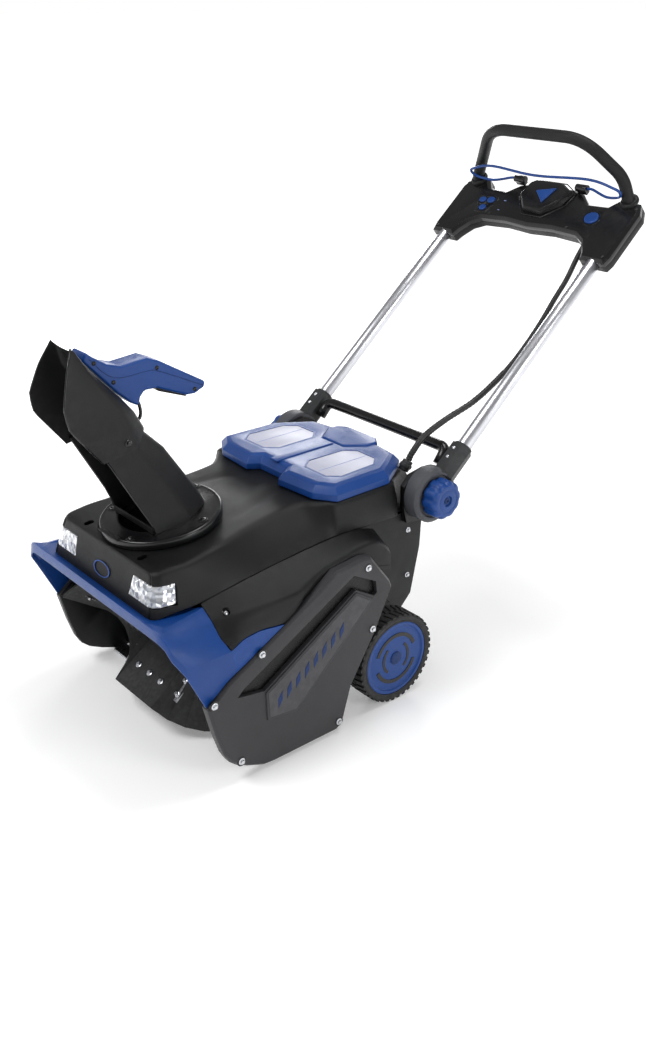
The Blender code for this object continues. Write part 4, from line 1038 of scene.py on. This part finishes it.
def make_beads():
    """Thickened rims along the open edges of the deflector and of the chute."""
    for side, sign in SIDES:
        edge = [(sign * (row[6] - 0.0012), row[0] + 0.0004, row[1]) for row in DEFLECTOR_ROWS]
        bead = pipe("deflector_bead_" + side, bent(edge, 0.012, 5), 0.0015, MACHINE, 10)
        settle(bead, "gloss", "deflector")
        edge = [(sign * 0.0640, -0.0495, 0.010), (sign * 0.0604, -0.0518, 0.026),
                (sign * 0.0534, -0.0638, 0.060), (sign * 0.0523, -0.1055, 0.1665)]
        settle(pipe("chute_bead_" + side, edge, 0.0012, CHUTE, 10), "gloss", "chute")


def make_deflector_details():
    """Hinge bolts, the handle's screws, its seam as a dark line of painted shade, and the link up
    to the trigger.
    """
    pins = [((sign * 0.0583, -0.180, 0.540), (sign, 0, 0)) for sign in (1, -1)]
    fasteners("deflector_pins", pins, "bolt", "deflector", "gloss")
    heads = [((sign * 0.0197, y, z), (sign, 0, 0)) for y, z in GRIP_SCREWS for sign in (1, -1)]
    fasteners("grip_screws", heads, "screw", "deflector", "gloss")
    seam = [(-0.2150, 0.6715), (-0.1900, 0.6440), (-0.1640, 0.6320), (-0.1180, 0.6330),
            (-0.0940, 0.6280), (-0.0140, 0.5880)]
    line = route([(0.0, y, z) for y, z in seam], 5)
    # the seam drawn as a thin dark blue line: painted shade in the groove
    for side, sign in SIDES:
        seam_shade_line = [(sign * 0.0198, p.y, p.z) for p in line]
        settle(pipe("grip_seam_" + side, seam_shade_line, 0.0007, MACHINE, 8), "deep", "deflector")
    arm = [(0.012, -0.1345, 0.5900), (0.012, -0.1300, 0.5780), (0.012, -0.1285, 0.5650),
           (0.012, -0.1320, 0.5560), (0.012, -0.1420, 0.5555)]
    settle(pipe("tilt_link", route(arm, 5), 0.0028, MACHINE, 12), "gloss", "deflector")


make_ring()
make_shells()
make_ring_details()
make_beads()
make_deflector_details()

# ---------------------------------------------------------------- lid

LID_TOP = 0.4090
WINDOW = [(0.133, 0.185), (0.115, 0.165), (0.060, 0.165), (0.042, 0.186), (0.043, 0.265),
          (0.062, 0.284), (0.109, 0.283), (0.128, 0.263)]


def make_lid():
    rounded("battery_lid", "blue", 0.0013, 3, 18)
    rounded("lid_latch", "blue", 0.0016, 3, 30)
    for side, sign in SIDES:
        rounded("lid_window_" + side, "window", 0.0010, 2, 30)
        shape = [(sign * x, y) for x, y in WINDOW]
        rim_out = inset(shape, -0.0030)
        rim_in = inset(shape, 0.0008)
        bm = bmesh.new()
        rows = []
        for (ax, ay), (bx, by) in zip(rim_out, rim_in):
            rows.append([bm.verts.new(point) for point in
                         ((ax, ay, LID_TOP + 0.0004), (ax, ay, LID_TOP + 0.0014),
                          (bx, by, LID_TOP + 0.0014), (bx, by, LID_TOP - 0.0002))])
        add_band(bm, rows)
        soften(settle(new_object("window_frame_" + side, bm), "blue", "lid"), 0.0004)
        x = sign * 0.0895
        bars = [([(x - 0.0006, 0.170), (x + 0.0006, 0.170), (x + 0.0006, 0.280),
                  (x - 0.0006, 0.280)], "Z", LID_TOP, LID_TOP + 0.0009)]
        strip_piece("window_line_" + side, bars, "pale", "lid")
    ridge = slab("lid_ridge", [(-0.010, 0.140), (0.010, 0.140), (0.0085, 0.272), (-0.0085, 0.272)],
                 "Z", [(LID_TOP, 0.0), (LID_TOP + 0.0018, 0.0), (LID_TOP + 0.0028, 0.0018)])
    soften(settle(ridge, "blue", "lid"), 0.0005)


make_lid()

# ---------------------------------------------------------------- rear housing details


def make_rear():
    ribs = []
    for k in range(5):
        x = -0.100 + 0.050 * k
        ribs.append(([(x - 0.002, 0.3400), (x + 0.002, 0.3400), (x + 0.002, 0.3492),
                      (x - 0.002, 0.3492)], "Z", 0.262, 0.310))
    strip_piece("rear_ribs", ribs, "black", "machine")
    _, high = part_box("rear_housing")
    places = [((sign * (high.x - 0.0002), 0.315, z), (sign, 0, 0))
              for sign in (1, -1) for z in (0.19, 0.28)]
    fasteners("rear_screws", places, "bolt", "machine", size=0.8)
    gland_at = Vector(CONDUIT_ROUTE[0])
    way = (Vector(CONDUIT_ROUTE[1]) - gland_at).normalized()
    clip = bmesh.new()
    add_turned(clip, [(-0.0150, 0.0105), (-0.0130, 0.0118), (-0.0085, 0.0118), (-0.0070, 0.0104)],
               facing(gland_at, way), 8)
    soften(settle(new_object("gland_nut", clip), "socket", "machine"), 0.0006)


make_rear()

# ---------------------------------------------------------------- wheels


TYRE_PROFILE = [(0.1932, 0.0693), (0.1932, 0.0785), (0.1940, 0.0804), (0.1960, 0.0814),
                (0.2340, 0.0814), (0.2366, 0.0806), (0.2378, 0.0786), (0.2378, 0.0735),
                (0.2370, 0.0722), (0.2378, 0.0710), (0.2374, 0.0693)]
HUB_PROFILE = [(0.1955, 0.0064), (0.1955, 0.0160), (0.2220, 0.0160), (0.2220, 0.0600),
               (0.1960, 0.0620), (0.1960, 0.0689), (0.2362, 0.0689), (0.2370, 0.0680),
               (0.2372, 0.0640), (0.2366, 0.0626), (0.2350, 0.0618), (0.2340, 0.0600),
               (0.2346, 0.0560), (0.2352, 0.0300), (0.2352, 0.0130), (0.2352, 0.0064)]
CAP_PROFILE = [(0.2346, 0.0002), (0.2346, 0.0125), (0.2362, 0.0125), (0.2372, 0.0112),
               (0.2376, 0.0080), (0.2376, 0.0002)]
LUGS = 40                       # tread lugs round each half of the tyre
# radius, width, start and sweep in degrees
HUB_ARCS = [(0.045, 0.0070, 20, 140), (0.045, 0.0070, 200, 140), (0.029, 0.0052, -50, 100),
            (0.029, 0.0052, 130, 100)]
ARC_STEPS = 22


def make_tread(side, sign):
    """Two rows of leaning lugs, half a pitch apart."""
    bm = bmesh.new()
    for k in range(LUGS):
        for ends, shift in ((((0.1938, 0.0), (0.2145, 0.05)), 0.0),
                            (((0.2165, 0.05), (0.2374, 0.0)), 0.5)):
            base = math.tau * (k + shift) / LUGS
            lug = []
            for x, lean in ends:
                for radius, half in ((0.0806, 0.050), (0.0838, 0.040)):
                    for turn in (-1, 1):
                        angle = base + lean + half * turn
                        lug.append(bm.verts.new((sign * x, radius * math.cos(angle),
                                                 radius * math.sin(angle))))
            for quad in ((0, 1, 3, 2), (4, 6, 7, 5), (0, 4, 5, 1), (2, 3, 7, 6), (0, 2, 6, 4),
                         (1, 5, 7, 3)):
                bm.faces.new([lug[i] for i in quad])
    tread = new_object("tread_" + side, bm, WHEEL)
    soften(settle(tread, "tyre", "wheel_" + side), 0.0006)


def make_hub_arcs(side, sign):
    arcs = bmesh.new()
    for radius, width, start, sweep in HUB_ARCS:
        section = [(radius - width / 2, 0.2345), (radius - width / 2, 0.2358),
                   (radius + width / 2, 0.2358), (radius + width / 2, 0.2345)]
        rows = []
        for k in range(ARC_STEPS + 1):
            angle = math.radians(start + sweep * k / ARC_STEPS)
            rows.append([arcs.verts.new((sign * x, r * math.cos(angle), r * math.sin(angle)))
                         for r, x in section])
        add_band(arcs, rows, closed=False)
    crisp(settle(new_object("hub_arcs_" + side, arcs, WHEEL), "gloss", "wheel_" + side), 40)


def make_wheel(side, sign):
    body = "wheel_" + side
    carcass = turned("tyre_carcass_" + side, on_side(sign, TYRE_PROFILE), WHEEL, steps=120)
    crisp(settle(carcass, "tyre", body, ("wheel_tyre_" + side,)), 45)
    make_tread(side, sign)
    disc = turned("hub_disc_" + side, on_side(sign, HUB_PROFILE), WHEEL, steps=96)
    crisp(settle(disc, "blue", body, ("wheel_hub_" + side,)), 38)
    make_hub_arcs(side, sign)
    cap = turned("hub_cap_" + side, on_side(sign, CAP_PROFILE), WHEEL, steps=48)
    crisp(settle(cap, "deep", body), 45)


for wheel_side, wheel_sign in SIDES:
    make_wheel(wheel_side, wheel_sign)

# ---------------------------------------------------------------- handle


TUBE_X = 0.193
TUBE_PROFILE = [(0.0586, 0.0116), (0.0586, 0.0132), (0.0590, 0.0135), (0.6396, 0.0135),
                (0.6400, 0.0132), (0.6400, 0.0116)]
COLLAR_PROFILE = [(0.1015, 0.0138), (0.1015, 0.0168), (0.1022, 0.0174), (0.1060, 0.0174),
                  (0.1068, 0.0166), (0.1068, 0.0138)]
KNOB_PROFILE = [(0.2058, 0.0072), (0.2058, 0.0332), (0.2075, 0.0350), (0.2130, 0.0358),
                (0.2270, 0.0356), (0.2320, 0.0345), (0.2352, 0.0318), (0.2370, 0.0280),
                (0.2375, 0.0230), (0.2367, 0.0215), (0.2367, 0.0195), (0.2374, 0.0180),
                (0.2374, 0.0100), (0.2340, 0.0086), (0.2336, 0.0002), (0.2058, 0.0002)]
BOLT_PROFILE = [(0.1793, 0.0002), (0.1793, 0.0066), (0.1800, 0.0070), (0.2070, 0.0070),
                (0.2070, 0.0002)]
EYE_PROFILE = [(0.2330, 0.0002), (0.2330, 0.0060), (0.2352, 0.0060), (0.2360, 0.0050),
               (0.2360, 0.0026), (0.2346, 0.0022), (0.2346, 0.0002)]


def is_disc(point):
    """Whether a point of a handle socket is on its round pivot disc."""
    local = HANDLE.inverted() @ point
    return math.hypot(local.y, local.z) < 0.0505 and local.y < 0.0395


def flutes(angle, radius, along):
    """Ten finger hollows round the knob's rim."""
    if radius < 0.031:
        return radius
    return radius - 0.0026 * (0.5 - 0.5 * math.cos(10 * angle)) ** 2


def make_tube(side, sign):
    rounded("handle_socket_" + side, "socket", 0.0012, 2, 30, "grey", is_disc)
    centre = (sign * TUBE_X, 0.0)
    tube = turned("tube_" + side, TUBE_PROFILE, HANDLE, "Y", centre, 56)
    crisp(settle(tube, "aluminium", "handle", ("handle_tube_" + side,)), 40)
    collar = turned("tube_collar_" + side, COLLAR_PROFILE, HANDLE, "Y", centre, 48)
    crisp(settle(collar, "socket", "handle"), 40)
    heads = [((sign * TUBE_X, t, 0.0198), (0, 0, 1)) for t in (0.070, 0.090)]
    fasteners("socket_screws_" + side, heads, "screw", "handle", "zinc", HANDLE, 0.9)


def make_knob(side, sign):
    body = "knob_" + side
    knob = turned("knob_body_" + side, on_side(sign, KNOB_PROFILE), HANDLE, steps=140,
                  wobble=flutes)
    crisp(settle(knob, "blue", body, ("pivot_knob_" + side,)), 48)
    bolt = turned("pivot_bolt_" + side, on_side(sign, BOLT_PROFILE), HANDLE, steps=32)
    crisp(settle(bolt, "zinc", body), 40)
    eye = turned("knob_eye_" + side, on_side(sign, EYE_PROFILE), HANDLE, steps=36)
    crisp(settle(eye, "deep", body), 40)


LOOP_FOOT = (0.1925, 0.685)


def make_bars():
    """The crossbar, the loop grip and the cuffs at the loop's feet."""
    right = [(0.100, 0.0915, 0.0035), (0.1645, 0.0905, 0.0035), (0.1655, 0.058, -0.002)]
    bar = right[::-1] + [(-x, y, z) for x, y, z in right]
    settle(pipe("crossbar", bent(bar, 0.024, 9), 0.0104, HANDLE, 32), "gloss", "handle",
           ("handle_crossbar",))
    half = [(*LOOP_FOOT, 0.0153), (*LOOP_FOOT, 0.024), (0.1790, 0.7080, 0.055),
            (0.118, 0.716, 0.1400)]
    loop = half + [(-x, y, z) for x, y, z in half[::-1]]
    settle(pipe("loop_tube", bent(loop, 0.045, 12), 0.0119, HANDLE, 32), "grip", "handle",
           ("loop_grip",))
    cuffs = bmesh.new()
    for sign in (1, -1):
        add_turned(cuffs, [(0.0150, 0.0136), (0.0150, 0.0182), (0.0190, 0.0180),
                           (0.0215, 0.0160), (0.0222, 0.0136)],
                   Matrix.Translation((sign * LOOP_FOOT[0], LOOP_FOOT[1], 0.0)), 40)
    crisp(settle(new_object("loop_cuffs", cuffs, HANDLE), "black", "handle"), 40)


for handle_side, handle_sign in SIDES:
    make_tube(handle_side, handle_sign)
    make_knob(handle_side, handle_sign)
make_bars()

# ---------------------------------------------------------------- console


# centre x, y, radius, height against width
BUTTON_RINGS = [(0.136, 0.634, 0.0205, 0.9), (-0.124, 0.6365, 0.0128, 0.8),
                (-0.1455, 0.6345, 0.0118, 0.8), (-0.133, 0.6150, 0.0118, 0.8)]
BUTTON_EDGES = [("safety_button", 0.0012), ("start_button", 0.0014), ("light_button", 0.0010),
                ("speed_up_button", 0.0010), ("speed_down_button", 0.0010)]
CLUSTER_PAD = [(-0.160, 0.640), (-0.146, 0.602), (-0.118, 0.603), (-0.106, 0.640),
               (-0.116, 0.650), (-0.150, 0.650)]
PAD_HOLES = [(-0.124, 0.6365, 0.0104), (-0.1455, 0.6345, 0.0094), (-0.133, 0.6150, 0.0094)]
POD = [(-0.036, 0.700), (0.029, 0.700), (0.062, 0.682), (0.055, 0.652), (0.022, 0.619),
       (-0.025, 0.620), (-0.056, 0.655), (-0.050, 0.691)]
CONSOLE_TOP = 0.0148
BAIL_PIVOT = (0.693, 0.0255)


def make_button_rings():
    bm = bmesh.new()
    steps = 40
    for cx, cy, reach, squash in BUTTON_RINGS:
        inner = reach * 0.82
        crest = CONSOLE_TOP + 0.0010
        section = [(reach, CONSOLE_TOP), (reach - 0.0004, crest), (inner + 0.0004, crest),
                   (inner, CONSOLE_TOP)]
        rows = []
        for k in range(steps):
            angle = math.tau * k / steps
            rows.append([bm.verts.new((cx + r * math.cos(angle),
                                       cy + r * squash * math.sin(angle), z))
                         for r, z in section])
        add_band(bm, rows)
    crisp(settle(new_object("button_rings", bm, HANDLE), "gloss", "handle"), 40)


def make_cluster_pad():
    pad = slab("cluster_pad", CLUSTER_PAD, "Z",
               [(0.0140, 0.0), (0.0151, 0.0), (0.0154, 0.0008)], HANDLE)
    carve(pad, *[prism("pad_hole", [(cx + r * math.cos(math.tau * k / 24),
                                     cy + r * 0.8 * math.sin(math.tau * k / 24))
                                    for k in range(24)], "Z", 0.01, 0.02, HANDLE)
                 for cx, cy, r in PAD_HOLES])
    settle(pad, "gloss", "handle")


def make_console():
    rounded("console_top", "gloss", 0.0022, 3, 26)
    for node, width in BUTTON_EDGES:
        rounded(node, "blue", width, 3, 30)
    make_button_rings()
    make_cluster_pad()
    marks = [([(-0.092, y), (x, y), (x, y + 0.0015), (-0.092, y + 0.0015)], "Z", CONSOLE_TOP,
              CONSOLE_TOP + 0.0004)
             for x, y in ((-0.086, 0.640), (-0.087, 0.615))]
    strip_piece("console_marks", marks, "pale", "handle", HANDLE, 0.0002)
    border = [(x, y, CONSOLE_TOP + 0.0010) for x, y in inset(POD, -0.0045)]
    settle(pipe("pod_border", border[-1:] + border, 0.0012, HANDLE, 10), "gloss", "handle")
    spots = [(x, t) for x in (0.214, -0.214) for t in (0.552, 0.672)]
    spots += [(0.095, 0.604), (-0.105, 0.604)]
    places = [((x, t, CONSOLE_TOP), (0, 0, 1)) for x, t in spots]
    fasteners("console_screws", places, "screw", "handle", "gloss", HANDLE, 0.9)


def make_bail():
    """The bail's wire, drawn round its own pivot."""
    half = [(0.0805, 0.0, 0.0), (0.0930, 0.0, 0.0), (0.1050, 0.0, 0.0), (0.1450, -0.0125, 0.0),
            (0.1800, -0.0170, 0.010), (0.1900, -0.0180, 0.024), (0.1780, -0.0170, 0.034),
            (0.1213, -0.0145, 0.046)]
    loop = half + [(0.0, -0.026, 0.050)] + [(-x, y, z) for x, y, z in half[::-1]]
    points = [Vector(p) + Vector((0.0, *BAIL_PIVOT)) for p in route(loop, 10)]
    settle(pipe("bail_wire", points, 0.0027, HANDLE, 20), "blue", "bail", ("bail_bar",))


make_console()
make_bail()

# ---------------------------------------------------------------- stage and light


FLOOR_HALF = 60.0


def make_stage():
    """A white floor that glows more with distance, so that it meets the white world unseen."""
    mesh = bpy.data.meshes.new("floor")
    corners = [(a * FLOOR_HALF, b * FLOOR_HALF, 0)
               for a, b in ((-1, -1), (1, -1), (1, 1), (-1, 1))]
    mesh.from_pydata(corners, [], [(0, 1, 2, 3)])
    floor = bpy.data.objects.new("floor", mesh)
    bpy.context.collection.objects.link(floor)
    g = Graph("floor_paper")
    g.set(Base_Color=g.mix(g.noise(3.0), (0.90, 0.90, 0.90), (0.93, 0.93, 0.93)), Roughness=0.8)
    reach = g.node("ShaderNodeVectorMath", operation="LENGTH")
    g.link(g.where, reach.inputs[0])
    glow = g.ramp(reach.outputs["Value"], 0.4, 2.2, 0.20, 0.85)
    g.set(Emission_Color=g.mix(g.noise(2.0), (0.98, 0.98, 0.98), (1.0, 1.0, 1.0)),
          Emission_Strength=glow, Specular_IOR_Level=0.1)
    mesh.materials.append(g.mat)


def area_light(name, place, aim, size, power):
    data = bpy.data.lights.new(name, "AREA")
    data.shape = "RECTANGLE"
    data.size = size[0]
    data.size_y = size[1]
    data.energy = power
    light = bpy.data.objects.new(name, data)
    bpy.context.collection.objects.link(light)
    light.location = place
    light.rotation_euler = (Vector(aim) - Vector(place)).to_track_quat("-Z", "Y").to_euler()


def make_light():
    world = bpy.data.worlds.new("studio")
    world.use_nodes = True
    background = world.node_tree.nodes["Background"]
    nodes = world.node_tree.nodes
    links = world.node_tree.links
    where = nodes.new("ShaderNodeTexCoord")
    split = nodes.new("ShaderNodeSeparateXYZ")
    fade = nodes.new("ShaderNodeMapRange")
    fade.inputs["From Min"].default_value = 0.05
    fade.inputs["From Max"].default_value = 0.35
    fade.inputs["To Min"].default_value = 1.0
    fade.inputs["To Max"].default_value = 0.30
    links.new(where.outputs["Generated"], split.inputs["Vector"])
    links.new(split.outputs["Z"], fade.inputs["Value"])
    links.new(fade.outputs["Result"], background.inputs["Strength"])
    background.inputs["Color"].default_value = (1.0, 1.0, 1.0, 1.0)
    bpy.context.scene.world = world
    area_light("key", (-0.6, -2.2, 2.9), (0, 0, 0.3), (1.6, 1.0), 58)
    area_light("fill", (2.9, 0.5, 1.5), (0, 0, 0.35), (1.0, 1.2), 26)
    area_light("sheen", (-2.1, 1.9, 1.15), (0, -0.05, 0.35), (1.2, 0.5), 24)
    area_light("crown", (0.2, 0.6, 3.0), (0, 0, 0.4), (1.2, 0.8), 30)
    bpy.context.scene.view_settings.view_transform = "Standard"


make_stage()
make_light()
